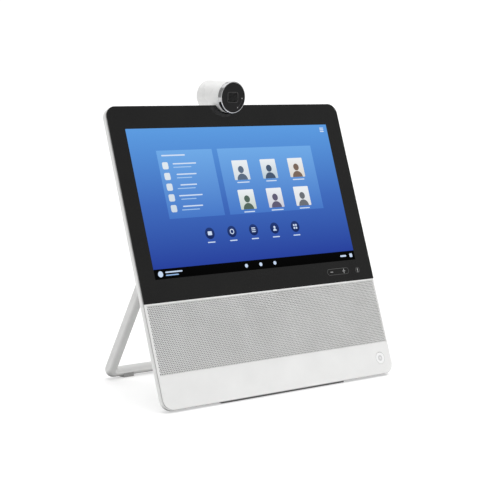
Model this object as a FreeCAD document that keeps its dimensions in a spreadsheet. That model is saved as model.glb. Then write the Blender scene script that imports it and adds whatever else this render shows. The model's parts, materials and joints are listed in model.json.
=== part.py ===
import FreeCAD, Part
import math
import os
from types import SimpleNamespace

import Sketcher

# Desk video phone: a leaning slab with a touch screen and a speaker front, a barrel camera that
# tilts in a notch of the top edge, a lit home button and a loop stand that folds behind.
#
# Frame: +X to the right, +Y away from the user, +Z up, millimetres. The origin is on the table,
# under the middle of the object. Panel pieces are drawn in the panel's own frame: x to the right,
# y into the panel from the glass's front face, z up along the panel from its bottom edge.

SIZES = [
    ("panel_tilt", 18.35, "lean of the panel from upright, degrees"),
    ("base_gap", 3.0, "panel's bottom front edge above the table"),
    ("front_reach", 104.56, "origin to the panel's bottom front edge"),
    ("panel_width", 354.3, "width of the slab"),
    ("panel_height", 345.3, "height of the slab along its face"),
    ("corner_radius", 13.0, "corner of the slab's outline"),
    ("frame_depth", 3.2, "thickness of the front frame"),
    ("frame_round", 1.4, "rounded front edge of the front frame"),
    ("seam_deep", 1.2, "seam behind the front's edge, sunk into the sides"),
    ("glass_bottom", 118.4, "lower edge of the glass"),
    ("glass_thick", 1.0, "thickness of the glass"),
    ("glass_gap", 0.1, "joint between glass and frame"),
    ("grille_bottom", 38.8, "lower edge of the grille"),
    ("grille_top", 116.5, "upper edge of the grille"),
    ("grille_half", 174.7, "half width of the grille's seat"),
    ("grille_thick", 1.1, "thickness of the grille plate"),
    ("grille_sink", 0.25, "grille's face behind the frame's face"),
    ("grille_gap", 0.2, "joint round the grille and its cloth"),
    ("grille_lip", 4.0, "ledge that the grille rests on"),
    ("cloth_thick", 0.6, "cloth behind the grille"),
    ("screen_mid_x", -0.6, "middle of the picture, sideways"),
    ("screen_mid_z", 231.5, "middle of the picture, along the panel"),
    ("screen_width", 309.4, "14-inch picture, width"),
    ("screen_height", 174.0, "14-inch picture, height"),
    ("module_rim", 5.0, "edge of the display module round the picture"),
    ("module_gap", 1.0, "gap round the display module"),
    ("module_thick", 4.4, "thickness of the display module"),
    ("key_mid_x", 130.0, "middle of the touch key board, sideways"),
    ("key_mid_z", 131.0, "middle of the touch key board, along the panel"),
    ("key_width", 62.0, "width of the touch key board"),
    ("key_height", 8.6, "height of the touch key board"),
    ("key_gap", 0.5, "gap round the touch key board"),
    ("key_thick", 1.2, "thickness of the touch key board"),
    ("button_x", 158.4, "home button, sideways"),
    ("button_z", 19.6, "home button, along the panel"),
    ("button_radius", 7.0, "home button's face"),
    ("button_clear", 0.35, "gap round the home button"),
    ("button_travel", 0.8, "press of the home button"),
    ("button_slack", 0.2, "gap in front of the button's flange"),
    ("flange_thick", 1.0, "thickness of the button's flange"),
    ("switch_radius", 3.0, "switch under the home button"),
    ("switch_gap", 0.1, "gap between the pressed button and its switch"),
    ("button_board_half", 10.5, "half size of the button's board"),
    ("button_flange", 1.4, "flange that keeps the button in"),
    ("ring_inner", 3.6, "inside of the button's lit ring"),
    ("ring_deep", 1.2, "depth of the button's lit ring"),
    ("shell_depth", 12.0, "back of the slab's tray"),
    ("shell_wall", 2.4, "wall of the tray and the back cover"),
    ("shell_round", 6.0, "rounded back edge of the tray"),
    ("shell_groove", 0.4, "bevel of the tray's front edge, beside the seam"),
    ("sill_height", 7.0, "solid bottom edge of the tray"),
    ("strip_half", 94.6, "half length of the rubber foot strip"),
    ("strip_front", 4.8, "front of the foot strip behind the glass's face"),
    ("strip_width", 5.2, "width of the foot strip"),
    ("strip_sink", 2.2, "top of the foot strip in the tray's sill"),
    ("opening_half", 84.0, "half width of the opening in the tray's back"),
    ("opening_bottom", 40.0, "lower edge of that opening"),
    ("opening_top", 200.0, "upper edge of that opening"),
    ("chassis_half", 170.0, "half width of the chassis plate"),
    ("chassis_bottom", 124.0, "lower edge of the chassis plate"),
    ("chassis_top", 326.0, "upper edge of the chassis plate"),
    ("chassis_thick", 1.0, "thickness of the chassis plate"),
    ("small_corner", 3.0, "corners of inner plates and boards"),
    ("cable_half", 20.0, "half width of the cable opening in the chassis plate"),
    ("cable_bottom", 140.0, "lower edge of that cable opening"),
    ("cable_top", 170.0, "upper edge of that cable opening"),
    ("boss_radius", 4.0, "screw bosses in the tray"),
    ("screw_radius", 1.5, "screw shanks"),
    ("thread_long", 3.0, "chassis screws, length in the tray"),
    ("board_thread", 6.0, "board screws, length in the back cover"),
    ("mount_thread", 1.4, "mount screws, length in the tray"),
    ("thread_spare", 0.6, "end of a threaded hole past its screw"),
    ("screw_clear", 0.05, "gap round a screw in its own thread"),
    ("well_clear", 0.3, "gap round a screw head in its well"),
    ("hole_clear", 0.25, "gap round a screw in a plain hole"),
    ("head_radius", 2.8, "screw heads"),
    ("head_thick", 1.6, "screw head thickness"),
    ("cover_half", 98.0, "half width of the back cover"),
    ("cover_bottom", 24.0, "lower face of the back cover"),
    ("cover_top", 218.0, "upper face of the back cover"),
    ("cover_depth", 44.0, "back face of the back cover"),
    ("cover_corner", 14.0, "corners of the back cover"),
    ("cover_round", 6.0, "rounded back edge of the back cover"),
    ("post_x", 90.0, "cover screws, sideways"),
    ("post_low", 33.0, "lower cover screws"),
    ("post_high", 209.0, "upper cover screws"),
    ("post_radius", 4.6, "posts round the cover screws"),
    ("post_seat", 18.0, "seat of the cover screws' heads"),
    ("vent_pitch", 6.5, "vent slots, spacing"),
    ("vent_width", 2.8, "vent slots, width"),
    ("vent_bottom", 152.0, "vent slots, lower end"),
    ("vent_top", 184.0, "vent slots, upper end"),
    ("board_half", 78.0, "half width of the main board"),
    ("board_bottom", 27.0, "lower edge of the main board"),
    ("board_top", 188.0, "upper edge of the main board"),
    ("board_front", 31.0, "front face of the main board"),
    ("board_thick", 1.6, "thickness of circuit boards"),
    ("board_screw_x", 72.0, "board screws, sideways"),
    ("board_screw_low", 52.0, "lower board screws"),
    ("board_screw_high", 180.0, "upper board screws"),
    ("sink_half", 34.0, "half width of the heat sink"),
    ("sink_bottom", 112.0, "lower edge of the heat sink"),
    ("sink_top", 172.0, "upper edge of the heat sink"),
    ("sink_base", 2.0, "base of the heat sink"),
    ("fin_height", 5.4, "fins of the heat sink"),
    ("fin_thick", 1.4, "thickness of a fin"),
    ("bay_left", -54.0, "socket bezel in the cover's lower wall, left end"),
    ("bay_right", 67.0, "socket bezel, right end"),
    ("bay_front", 14.6, "socket bezel, front edge"),
    ("bay_back", 33.6, "socket bezel, back edge"),
    ("socket_gap", 0.2, "gap round a socket in the bezel"),
    ("jack_width", 16.0, "network jack, width"),
    ("jack_tall", 13.5, "network jack, height off the board"),
    ("jack_long", 21.0, "network jack, length"),
    ("plug_width", 11.8, "network plug's opening, width"),
    ("plug_tall", 8.2, "network plug's opening, height"),
    ("plug_deep", 13.0, "network plug's opening, depth"),
    ("network_x", -18.0, "network jack, sideways"),
    ("computer_x", -42.0, "computer jack, sideways"),
    ("usb_x", 6.0, "usb socket, sideways"),
    ("usb_width", 14.4, "usb socket, width"),
    ("usb_tall", 7.2, "usb socket, height"),
    ("usb_hole_width", 12.4, "usb socket's opening, width"),
    ("usb_hole_tall", 5.2, "usb socket's opening, height"),
    ("video_x", 31.0, "video socket, sideways"),
    ("video_width", 16.4, "video socket, width"),
    ("video_tall", 6.8, "video socket, height"),
    ("video_hole_width", 14.2, "video socket's opening, width"),
    ("video_hole_tall", 4.7, "video socket's opening, height"),
    ("small_deep", 10.0, "depth of the usb and video openings"),
    ("small_long", 14.0, "length of the usb, video and power sockets"),
    ("power_x", 57.0, "power inlet, sideways"),
    ("power_width", 11.0, "power inlet, width"),
    ("power_tall", 9.0, "power inlet, height"),
    ("power_hole_width", 8.6, "power inlet's opening, width"),
    ("power_hole_tall", 6.6, "power inlet's opening, height"),
    ("speaker_x", 50.0, "speakers, sideways"),
    ("speaker_z", 77.0, "speakers, along the panel"),
    ("baffle_half", 166.0, "half width of the speaker baffle"),
    ("baffle_edge", 1.6, "baffle's edge outside the grille's opening"),
    ("baffle_thick", 2.0, "thickness of the speaker baffle"),
    ("basket_radius", 29.0, "speaker's flange"),
    ("basket_mouth", 25.0, "speaker's mouth"),
    ("basket_thick", 1.6, "speaker basket's sheet"),
    ("basket_throat", 12.0, "speaker basket's back opening"),
    ("basket_deep", 13.0, "speaker basket's depth"),
    ("cone_gap", 0.8, "gap round the speaker cone"),
    ("cone_edge", 6.0, "width of the cone's slope"),
    ("cone_deep", 5.5, "depth of the cone"),
    ("cone_thick", 0.8, "speaker cone's sheet"),
    ("magnet_radius", 16.0, "speaker magnet"),
    ("magnet_thick", 9.0, "thickness of the speaker magnet"),
    ("mic_x", 142.0, "microphones, sideways"),
    ("mic_radius", 3.5, "microphone can"),
    ("mic_long", 3.0, "length of a microphone can"),
    ("mic_hole", 0.9, "sound hole of a microphone"),
    ("antenna_thick", 0.8, "thickness of the antenna strips"),
    ("antenna_inner", 96.0, "antenna strips, inner end"),
    ("antenna_outer", 150.0, "antenna strips, outer end"),
    ("antenna_bottom", 331.0, "antenna strips, lower edge"),
    ("antenna_top", 338.0, "antenna strips, upper edge"),
    ("hinge_depth", 36.0, "stand's hinge behind the glass's face"),
    ("hinge_height", 202.7, "stand's hinge along the panel"),
    ("hinge_pin", 2.5, "radius of a hinge pin"),
    ("pin_head", 4.2, "radius of a hinge pin's head"),
    ("pin_head_long", 3.0, "length of a hinge pin's head"),
    ("pin_cover", 2.4, "leg left over the end of a hinge pin"),
    ("hinge_clear", 0.05, "running gap round a hinge pin or axle"),
    ("hinge_boss", 7.0, "radius of the hinge bosses on the back cover"),
    ("hinge_boss_in", 84.0, "inner face of a hinge boss"),
    ("hinge_boss_out", 99.4, "outer face of a hinge boss"),
    ("bracket_thick", 2.2, "hinge bracket's sheet"),
    ("bracket_half", 9.0, "half size of a hinge bracket"),
    ("washer_inset", 0.3, "friction washer inside the leg's thickness"),
    ("washer_gap", 0.08, "gaps beside a friction washer"),
    ("stand_lean", 30.7, "lean of the stand's legs, degrees"),
    ("leg_mid", 107.7, "middle of a stand leg, sideways"),
    ("leg_width", 14.6, "width of a stand leg"),
    ("leg_thick", 11.6, "thickness of the stand's loop"),
    ("leg_round", 5.4, "rounded edges of the stand's loop"),
    ("loop_radius", 13.5, "outer corners of the stand's loop"),
    ("loop_inner", 2.5, "inner corners of the stand's loop"),
    ("bar_width", 12.0, "width of the stand's foot bar"),
    ("bar_height", 7.7, "middle of the stand's foot bar above the table"),
    ("eye_reach", 5.8, "end of a stand leg past its hinge"),
    ("foot_inner", 75.0, "stand feet, inner end"),
    ("foot_outer", 90.0, "stand feet, outer end"),
    ("foot_width", 10.4, "stand feet, front to back"),
    ("foot_top", 5.2, "stand feet, height"),
    ("camera_back", 97.2, "camera's front behind the panel's bottom front edge"),
    ("camera_height", 339.8, "camera's front above the table"),
    ("camera_aim", 2.3, "camera's downward aim, degrees"),
    ("barrel_radius", 18.75, "camera barrel"),
    ("barrel_length", 46.8, "camera, front to back"),
    ("barrel_wall", 2.0, "wall of the camera barrel"),
    ("notch_radius", 21.5, "notch in the slab's top edge"),
    ("glass_notch", 20.1, "notch in the glass, in front of that one"),
    ("ring_length", 6.0, "shutter ring, front to back"),
    ("ring_bore", 17.8, "inside of the shutter ring"),
    ("ring_round", 0.7, "rounded edges of the shutter ring"),
    ("ring_web", 14.6, "inside of the shutter ring's web"),
    ("ring_slip", 0.1, "running gaps of the shutter ring"),
    ("window_front", 0.8, "lens window behind the ring's front"),
    ("window_thick", 1.5, "thickness of the lens window"),
    ("web_thick", 1.0, "thickness of the shutter ring's web"),
    ("hub_wall", 0.9, "wall round the shutter's pocket"),
    ("blade_thick", 0.5, "thickness of the shutter blade"),
    ("blade_pivot", 9.3, "shutter blade's pivot off the camera's axis"),
    ("blade_round", 4.3, "shutter blade's disc"),
    ("blade_open", 55.0, "shutter blade's swing, degrees"),
    ("blade_eye", 1.4, "blade round its pivot hole"),
    ("blade_arm", 1.5, "half width of the blade's arm"),
    ("pivot_radius", 0.9, "shutter blade's pivot post"),
    ("lens_radius", 5.6, "lens barrel"),
    ("lens_clear", 0.3, "gap round the lens barrel's nose"),
    ("lens_nose", 3.3, "lens barrel's nose"),
    ("front_wall", 2.0, "front wall of the camera barrel"),
    ("lens_long", 4.4, "length of the lens barrel behind that wall"),
    ("sensor_half", 6.0, "half size of the sensor board"),
    ("sensor_thick", 1.0, "thickness of the sensor board"),
    ("axle_back", 21.0, "tilt axle behind the camera's front"),
    ("axle_radius", 2.0, "tilt axle"),
    ("axle_grip", 0.02, "gap round the axle in its bosses"),
    ("axle_half", 16.0, "half length of the tilt axle"),
    ("axle_boss", 4.2, "bosses that hold the tilt axle"),
    ("axle_boss_in", 9.0, "inner face of those bosses"),
    ("neck_half", 4.0, "half width of the camera mount's neck"),
    ("neck_eye", 4.5, "eye of the camera mount's neck"),
    ("neck_foot_front", 5.4, "front of the neck at its foot"),
    ("neck_foot_back", 9.4, "back of the neck at its foot"),
    ("neck_foot", 327.0, "foot of the neck along the panel"),
    ("neck_slot_half", 4.7, "half width of the neck's slots"),
    ("neck_slot_front", 8.3, "front end of the slot in the barrel"),
    ("neck_slot_back", 24.2, "back end of the slot in the barrel"),
    ("mount_half", 15.0, "half width of the camera mount's plate"),
    ("mount_bottom", 309.0, "lower edge of the camera mount's plate"),
    ("mount_thick", 2.0, "thickness of the camera mount's plate"),
    ("mount_screw_x", 10.0, "mount screws, sideways"),
    ("mount_screw_z", 316.0, "mount screws, along the panel"),
    ("cap_start", 45.0, "seam of the camera's back cap"),
    ("cap_round", 1.0, "rounded back edge of the camera"),
    ("cap_plug", 3.5, "length of the cap's plug"),
    ("cap_plug_wall", 2.0, "wall of the cap's plug"),
    ("cap_slip", 0.05, "gap round the cap's plug"),
]

CHASSIS_SCREWS = [(side * 165.0, height) for side in (-1, 1) for height in (132.0, 228.0, 316.0)]
VENT_COUNT = 21
OVERSHOOT = 1.0   # how far a cutting shape runs past the face it cuts
FAR = 400.0       # longer than any piece
FIN_COUNT = 11
PARTS_FOLDER = "parts"

doc = FreeCAD.newDocument("desk_video_phone")
sheet = doc.addObject("Spreadsheet::Sheet", "Sizes")
for row, (alias, value, note) in enumerate(SIZES, 1):
    sheet.set("A%d" % row, note)
    sheet.set("B%d" % row, str(value))
    sheet.setAlias("B%d" % row, alias)
doc.recompute()


class Size:
    """A length that carries its number and the sheet expression that gives it."""

    def __init__(self, value, text):
        self.value = value
        self.text = text

    def __add__(self, other):
        other = size(other)
        return Size(self.value + other.value, "(%s + %s)" % (self.text, other.text))

    def __sub__(self, other):
        other = size(other)
        return Size(self.value - other.value, "(%s - %s)" % (self.text, other.text))

    def __mul__(self, other):
        other = size(other)
        return Size(self.value * other.value, "(%s * %s)" % (self.text, other.text))

    def __truediv__(self, other):
        other = size(other)
        return Size(self.value / other.value, "(%s / %s)" % (self.text, other.text))

    def __neg__(self):
        return Size(-self.value, "(-1 * %s)" % self.text)

    __radd__ = __add__
    __rmul__ = __mul__

    def __rsub__(self, other):
        return size(other) - self


def size(number):
    """The number as a Size."""
    if isinstance(number, Size):
        return number
    return Size(float(number), "%.6f" % number)


def cos_of(angle):
    return Size(math.cos(math.radians(angle.value)), "cos(%s)" % angle.text)


def sin_of(angle):
    return Size(math.sin(math.radians(angle.value)), "sin(%s)" % angle.text)


S = SimpleNamespace(**{alias: Size(value, "Sizes." + alias) for alias, value, note in SIZES})
X_AXIS = FreeCAD.Vector(1, 0, 0)
Y_AXIS = FreeCAD.Vector(0, 1, 0)


# The four frames that pieces are drawn in
def turned(x, y, z, degrees):
    """A frame at a point, turned about the X axis."""
    return FreeCAD.Placement(FreeCAD.Vector(x, y, z), FreeCAD.Rotation(X_AXIS, degrees))


TABLE = FreeCAD.Placement()
PANEL = turned(0, -S.front_reach.value, S.base_gap.value, -S.panel_tilt.value)
HINGE_POINT = PANEL.multVec(FreeCAD.Vector(0, S.hinge_depth.value, S.hinge_height.value))
STAND = turned(0, HINGE_POINT.y, HINGE_POINT.z, S.stand_lean.value)
CAMERA = turned(0, S.camera_back.value - S.front_reach.value, S.camera_height.value, S.camera_aim.value)

# Hinge to the middle of the foot bar, so that the bar is at its height above the table
hinge_z = S.base_gap + S.hinge_height * cos_of(S.panel_tilt) - S.hinge_depth * sin_of(S.panel_tilt)
leg_length = (hinge_z - S.bar_height) / cos_of(S.stand_lean)


# Helpers for bodies, sketches and primitives
def bind(item, path, number):
    """Binds a property to the sheet."""
    item.setExpression(path, size(number).text)


def new_body(label, frame):
    item = doc.addObject("PartDesign::Body", label)
    item.Label = label
    item.Placement = frame
    return item


def new_sketch(body, name, plane, offset=0.0):
    """A sketch on one of the body's own planes, moved along that plane's normal."""
    item = body.newObject("Sketcher::SketchObject", body.Name + "_" + name)
    support = next(part for part in body.Origin.OriginFeatures if part.Role == plane)
    item.AttachmentSupport = [(support, "")]
    item.MapMode = "FlatFace"
    bind(item, "AttachmentOffset.Base.z", offset)
    return item


def hold(sketch, kind, *args):
    """A sketch constraint whose last argument is a size from the sheet."""
    number = size(args[-1])
    index = sketch.addConstraint(Sketcher.Constraint(kind, *args[:-1], number.value))
    sketch.setExpression("Constraints[%d]" % index, number.text)


def hold_along(sketch, kind, edge, end, number):
    """Fixes one coordinate of a point of the sketch."""
    if size(number).value == 0:
        axis = -2 if kind == "DistanceX" else -1
        sketch.addConstraint(Sketcher.Constraint("PointOnObject", edge, end, axis))
    else:
        hold(sketch, kind, -1, 1, edge, end, number)


def hold_point(sketch, edge, end, across, up):
    """Fixes a point of the sketch at its coordinates."""
    hold_along(sketch, "DistanceX", edge, end, across)
    hold_along(sketch, "DistanceY", edge, end, up)


def vector(across, up):
    return FreeCAD.Vector(size(across).value, size(up).value, 0)


def draw_polygon(sketch, points):
    """A closed outline of straight edges."""
    first = sketch.GeometryCount
    count = len(points)
    for start, end in zip(points, points[1:] + points[:1]):
        sketch.addGeometry(Part.LineSegment(vector(*start), vector(*end)))
    for number, (across, up) in enumerate(points):
        following = first + (number + 1) % count
        sketch.addConstraint(Sketcher.Constraint("Coincident", first + number, 2, following, 1))
        hold_point(sketch, first + number, 1, across, up)


def draw_box(sketch, left, right, low, high):
    draw_polygon(sketch, [(left, low), (right, low), (right, high), (left, high)])


def draw_circle(sketch, across, up, radius):
    centre = vector(across, up)
    edge = sketch.addGeometry(Part.Circle(centre, FreeCAD.Vector(0, 0, 1), size(radius).value))
    hold(sketch, "Radius", edge, radius)
    hold_point(sketch, edge, 3, across, up)


def draw_rounded(sketch, left, right, low, high, radius):
    """A rectangle with four round corners."""
    first = sketch.GeometryCount
    x0, x1, y0, y1 = (size(number).value for number in (left, right, low, high))
    r = size(radius).value
    straight = [((x0 + r, y0), (x1 - r, y0)), ((x1, y0 + r), (x1, y1 - r)),
                ((x1 - r, y1), (x0 + r, y1)), ((x0, y1 - r), (x0, y0 + r))]
    centres = [(x1 - r, y0 + r), (x1 - r, y1 - r), (x0 + r, y1 - r), (x0 + r, y0 + r)]
    quarter = math.pi / 2
    for number, (start, end) in enumerate(straight):
        sketch.addGeometry(Part.LineSegment(FreeCAD.Vector(*start, 0), FreeCAD.Vector(*end, 0)))
        circle = Part.Circle(FreeCAD.Vector(*centres[number], 0), FreeCAD.Vector(0, 0, 1), r)
        sketch.addGeometry(Part.ArcOfCircle(circle, (number - 1) * quarter, number * quarter))
    for number in range(4):
        line = first + 2 * number
        arc = line + 1
        following = first + (2 * number + 2) % 8
        sketch.addConstraint(Sketcher.Constraint("Tangent", line, 2, arc, 1))
        sketch.addConstraint(Sketcher.Constraint("Tangent", arc, 2, following, 1))
        sketch.addConstraint(Sketcher.Constraint("Vertical" if number % 2 else "Horizontal", line))
        hold(sketch, "Radius", arc, radius)
    hold_along(sketch, "DistanceY", first, 1, low)
    hold_along(sketch, "DistanceX", first + 2, 1, right)
    hold_along(sketch, "DistanceY", first + 4, 1, high)
    hold_along(sketch, "DistanceX", first + 6, 1, left)


def add_pad(body, sketch, length, backward=True):
    item = body.newObject("PartDesign::Pad", sketch.Name + "_pad")
    item.Profile = sketch
    item.Reversed = backward
    bind(item, "Length", length)
    return item


def add_pocket(body, sketch, length, backward=False):
    item = body.newObject("PartDesign::Pocket", sketch.Name + "_pocket")
    item.Profile = sketch
    item.Reversed = backward
    bind(item, "Length", length)
    return item


def add_turning(body, sketch):
    """A solid of revolution about the sketch's upright axis."""
    item = body.newObject("PartDesign::Revolution", sketch.Name + "_turned")
    item.Profile = sketch
    item.ReferenceAxis = (sketch, ["V_Axis"])
    item.Angle = 360
    return item


def add_fillet(body, base, radius, chosen, kind="Fillet"):
    """Rounds, or bevels, the edges of base that chosen(box) accepts, in the body's own frame."""
    doc.recompute()
    names = ["Edge%d" % number for number, edge in enumerate(base.Shape.Edges, 1) if chosen(edge.BoundBox)]
    item = body.newObject("PartDesign::" + kind, body.Name + "_" + kind.lower())
    item.Base = (base, names)
    bind(item, "Radius" if kind == "Fillet" else "Size", radius)
    return item


def at_depth(depth):
    """Accepts the edges that lie in one plane square to the y axis."""
    return lambda box: abs(box.YMin - depth.value) < 1e-4 and abs(box.YMax - depth.value) < 1e-4


def plate(label, frame, left, right, low, high, front, back, radius=None):
    """A flat plate in the x-z plane, with square or round corners."""
    body = new_body(label, frame)
    sketch = new_sketch(body, "outline", "XZ_Plane", -size(front))
    if radius is None:
        draw_box(sketch, left, right, low, high)
    else:
        draw_rounded(sketch, left, right, low, high, radius)
    add_pad(body, sketch, size(back) - front)
    return body


def block(label, frame, left, right, front, back, low, high):
    """A plain box."""
    item = doc.addObject("Part::Box", label)
    item.Label = label
    bind(item, "Length", size(right) - left)
    bind(item, "Width", size(back) - front)
    bind(item, "Height", size(high) - low)
    corner = FreeCAD.Vector(*(size(number).value for number in (left, front, low)))
    item.Placement = frame.multiply(FreeCAD.Placement(corner, FreeCAD.Rotation()))
    return item


def rod(label, frame, x, y, z, radius, length, along="y"):
    """A cylinder that starts at a point and runs along y, or along x."""
    item = doc.addObject("Part::Cylinder", label)
    item.Label = label
    bind(item, "Radius", radius)
    bind(item, "Height", length)
    turn = FreeCAD.Rotation(X_AXIS, -90) if along == "y" else FreeCAD.Rotation(Y_AXIS, 90)
    start = FreeCAD.Vector(*(size(number).value for number in (x, y, z)))
    item.Placement = frame.multiply(FreeCAD.Placement(start, turn))
    return item


def joined(label, items):
    item = doc.addObject("Part::MultiFuse", label)
    item.Label = label
    item.Shapes = items
    return item


def cut(label, base, tool):
    item = doc.addObject("Part::Cut", label)
    item.Label = label
    item.Base = base
    item.Tool = tool
    return item


def group(label, items):
    item = doc.addObject("Part::Compound", label)
    item.Label = label
    item.Links = items
    return item


def screws(label, frame, places, seat, length, inward):
    """Equal screws: heads on a seat at one depth, shanks running along y one way or the other."""
    made = []
    for number, (x, z) in enumerate(places):
        name = "%s_%d" % (label, number + 1)
        head_start = size(seat) - S.head_thick if inward > 0 else size(seat)
        shank_start = size(seat) if inward > 0 else size(seat) - length
        head = rod(name + "_head", frame, x, head_start, z, S.head_radius, S.head_thick)
        shank = rod(name + "_shank", frame, x, shank_start, z, S.screw_radius, length)
        made.append(joined(name, [head, shank]))
    return group(label, made)


half_width = S.panel_width / 2
shell_back = S.shell_depth - S.shell_wall
cover_inside = S.cover_depth - S.shell_wall
nodes = []


def keep(*items):
    nodes.extend(items)


# Notch for the camera, along the camera's own axis, and the wall that lines it
def notch_rod(name, radius):
    return rod(name, CAMERA, 0, -FAR / 2, 0, radius, FAR)


# Front frame
def make_front_frame():
    body = new_body("front_frame_plate", PANEL)
    outline = new_sketch(body, "outline", "XZ_Plane")
    draw_rounded(outline, -half_width, half_width, 0, S.panel_height, S.corner_radius)
    slab = add_pad(body, outline, S.frame_depth)
    add_fillet(body, slab, S.frame_round, at_depth(size(0)))
    seam = new_sketch(body, "seam", "XZ_Plane", -S.glass_thick)
    draw_box(seam, -half_width - OVERSHOOT, half_width + OVERSHOOT, -OVERSHOOT, S.panel_height + OVERSHOOT)
    draw_rounded(seam, S.seam_deep - half_width, half_width - S.seam_deep, S.seam_deep,
                 S.panel_height - S.seam_deep, S.corner_radius - S.seam_deep)
    add_pocket(body, seam, S.frame_depth - S.glass_thick)
    glass_seat = new_sketch(body, "glass_seat", "XZ_Plane")
    draw_box(glass_seat, -S.panel_width, S.panel_width, S.glass_bottom, FAR)
    add_pocket(body, glass_seat, S.glass_thick)
    grille_seat = new_sketch(body, "grille_seat", "XZ_Plane")
    draw_box(grille_seat, -S.grille_half, S.grille_half, S.grille_bottom, S.grille_top)
    add_pocket(body, grille_seat, S.grille_sink + S.grille_thick)
    windows = new_sketch(body, "windows", "XZ_Plane")
    lip_half = S.grille_half - S.grille_lip
    draw_box(windows, -lip_half, lip_half, S.grille_bottom + S.grille_lip, S.grille_top - S.grille_lip)
    half = S.screen_width / 2 + S.module_rim + S.module_gap
    tall = S.screen_height / 2 + S.module_rim + S.module_gap
    draw_box(windows, S.screen_mid_x - half, S.screen_mid_x + half,
             S.screen_mid_z - tall, S.screen_mid_z + tall)
    half = S.key_width / 2 + S.key_gap
    tall = S.key_height / 2 + S.key_gap
    draw_box(windows, S.key_mid_x - half, S.key_mid_x + half, S.key_mid_z - tall, S.key_mid_z + tall)
    draw_circle(windows, S.button_x, S.button_z, S.button_radius + S.button_clear)
    add_pocket(body, windows, S.frame_depth)
    keep(cut("front_frame", body, notch_rod("front_frame_notch", S.notch_radius)))


# Glass and what lies behind it
def make_glass():
    body = new_body("cover_glass_plate", PANEL)
    outline = new_sketch(body, "outline", "XZ_Plane")
    draw_rounded(outline, -half_width, half_width, 0, S.panel_height, S.corner_radius)
    add_pad(body, outline, S.glass_thick)
    below = new_sketch(body, "below", "XZ_Plane")
    draw_box(below, -S.panel_width, S.panel_width, -FAR, S.glass_bottom + S.glass_gap)
    add_pocket(body, below, S.glass_thick)
    keep(cut("cover_glass", body, notch_rod("cover_glass_notch", S.glass_notch)))


def make_display():
    half = S.screen_width / 2 + S.module_rim
    tall = S.screen_height / 2 + S.module_rim
    front = S.glass_thick
    keep(plate("display_module", PANEL, S.screen_mid_x - half, S.screen_mid_x + half,
               S.screen_mid_z - tall, S.screen_mid_z + tall, front, front + S.module_thick, S.small_corner))
    keep(plate("touch_key_board", PANEL, S.key_mid_x - S.key_width / 2, S.key_mid_x + S.key_width / 2,
               S.key_mid_z - S.key_height / 2, S.key_mid_z + S.key_height / 2,
               front, front + S.key_thick))


# Speaker front
def make_speaker_front():
    gap = S.grille_gap
    keep(plate("speaker_grille", PANEL, gap - S.grille_half, S.grille_half - gap,
               S.grille_bottom + gap, S.grille_top - gap, S.grille_sink, S.grille_sink + S.grille_thick))
    seat = S.grille_sink + S.grille_thick
    half = S.grille_half - S.grille_lip - gap
    keep(plate("grille_cloth", PANEL, -half, half, S.grille_bottom + S.grille_lip + gap,
               S.grille_top - S.grille_lip - gap, seat, seat + S.cloth_thick))
    baffle = new_body("speaker_baffle", PANEL)
    outline = new_sketch(baffle, "outline", "XZ_Plane", -S.frame_depth)
    draw_rounded(outline, -S.baffle_half, S.baffle_half, S.grille_bottom + S.baffle_edge,
                 S.grille_top - S.baffle_edge, S.small_corner)
    add_pad(baffle, outline, S.baffle_thick)
    holes = new_sketch(baffle, "holes", "XZ_Plane", -S.frame_depth)
    for side in (-1, 1):
        draw_circle(holes, side * S.speaker_x, S.speaker_z, S.basket_mouth)
        draw_circle(holes, side * S.mic_x, S.speaker_z, S.mic_hole)
    add_pocket(baffle, holes, S.baffle_thick)
    keep(baffle)


def make_speaker(side, word):
    """One driver: basket, cone and magnet, turned about its own axis."""
    back = S.frame_depth + S.baffle_thick
    middle = FreeCAD.Vector(side * S.speaker_x.value, back.value, S.speaker_z.value)
    frame = PANEL.multiply(FreeCAD.Placement(middle, FreeCAD.Rotation()))
    sheet_thick = S.basket_thick
    basket = new_body(word + "_speaker_basket", frame)
    profile = new_sketch(basket, "profile", "XY_Plane")
    draw_polygon(profile, [(S.basket_mouth, 0), (S.basket_radius, 0), (S.basket_radius, sheet_thick),
                           (S.basket_mouth + sheet_thick, sheet_thick),
                           (S.magnet_radius, S.basket_deep), (S.basket_throat, S.basket_deep),
                           (S.basket_throat, S.basket_deep - sheet_thick),
                           (S.magnet_radius - sheet_thick, S.basket_deep - sheet_thick)])
    add_turning(basket, profile)
    cone = new_body(word + "_speaker_cone", frame)
    profile = new_sketch(cone, "profile", "XY_Plane")
    edge = S.basket_mouth - S.cone_gap
    dome = edge - S.cone_edge
    draw_polygon(profile, [(0, S.cone_deep / 2), (dome, S.cone_deep), (edge, 0), (edge, S.cone_thick),
                           (dome, S.cone_deep + S.cone_thick), (0, S.cone_deep / 2 + S.cone_thick)])
    add_turning(cone, profile)
    magnet = rod(word + "_speaker_magnet", frame, 0, S.basket_deep, 0, S.magnet_radius, S.magnet_thick)
    microphone = rod(word + "_microphone", PANEL, side * S.mic_x, back, S.speaker_z, S.mic_radius, S.mic_long)
    keep(basket, cone, magnet, microphone)


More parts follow.
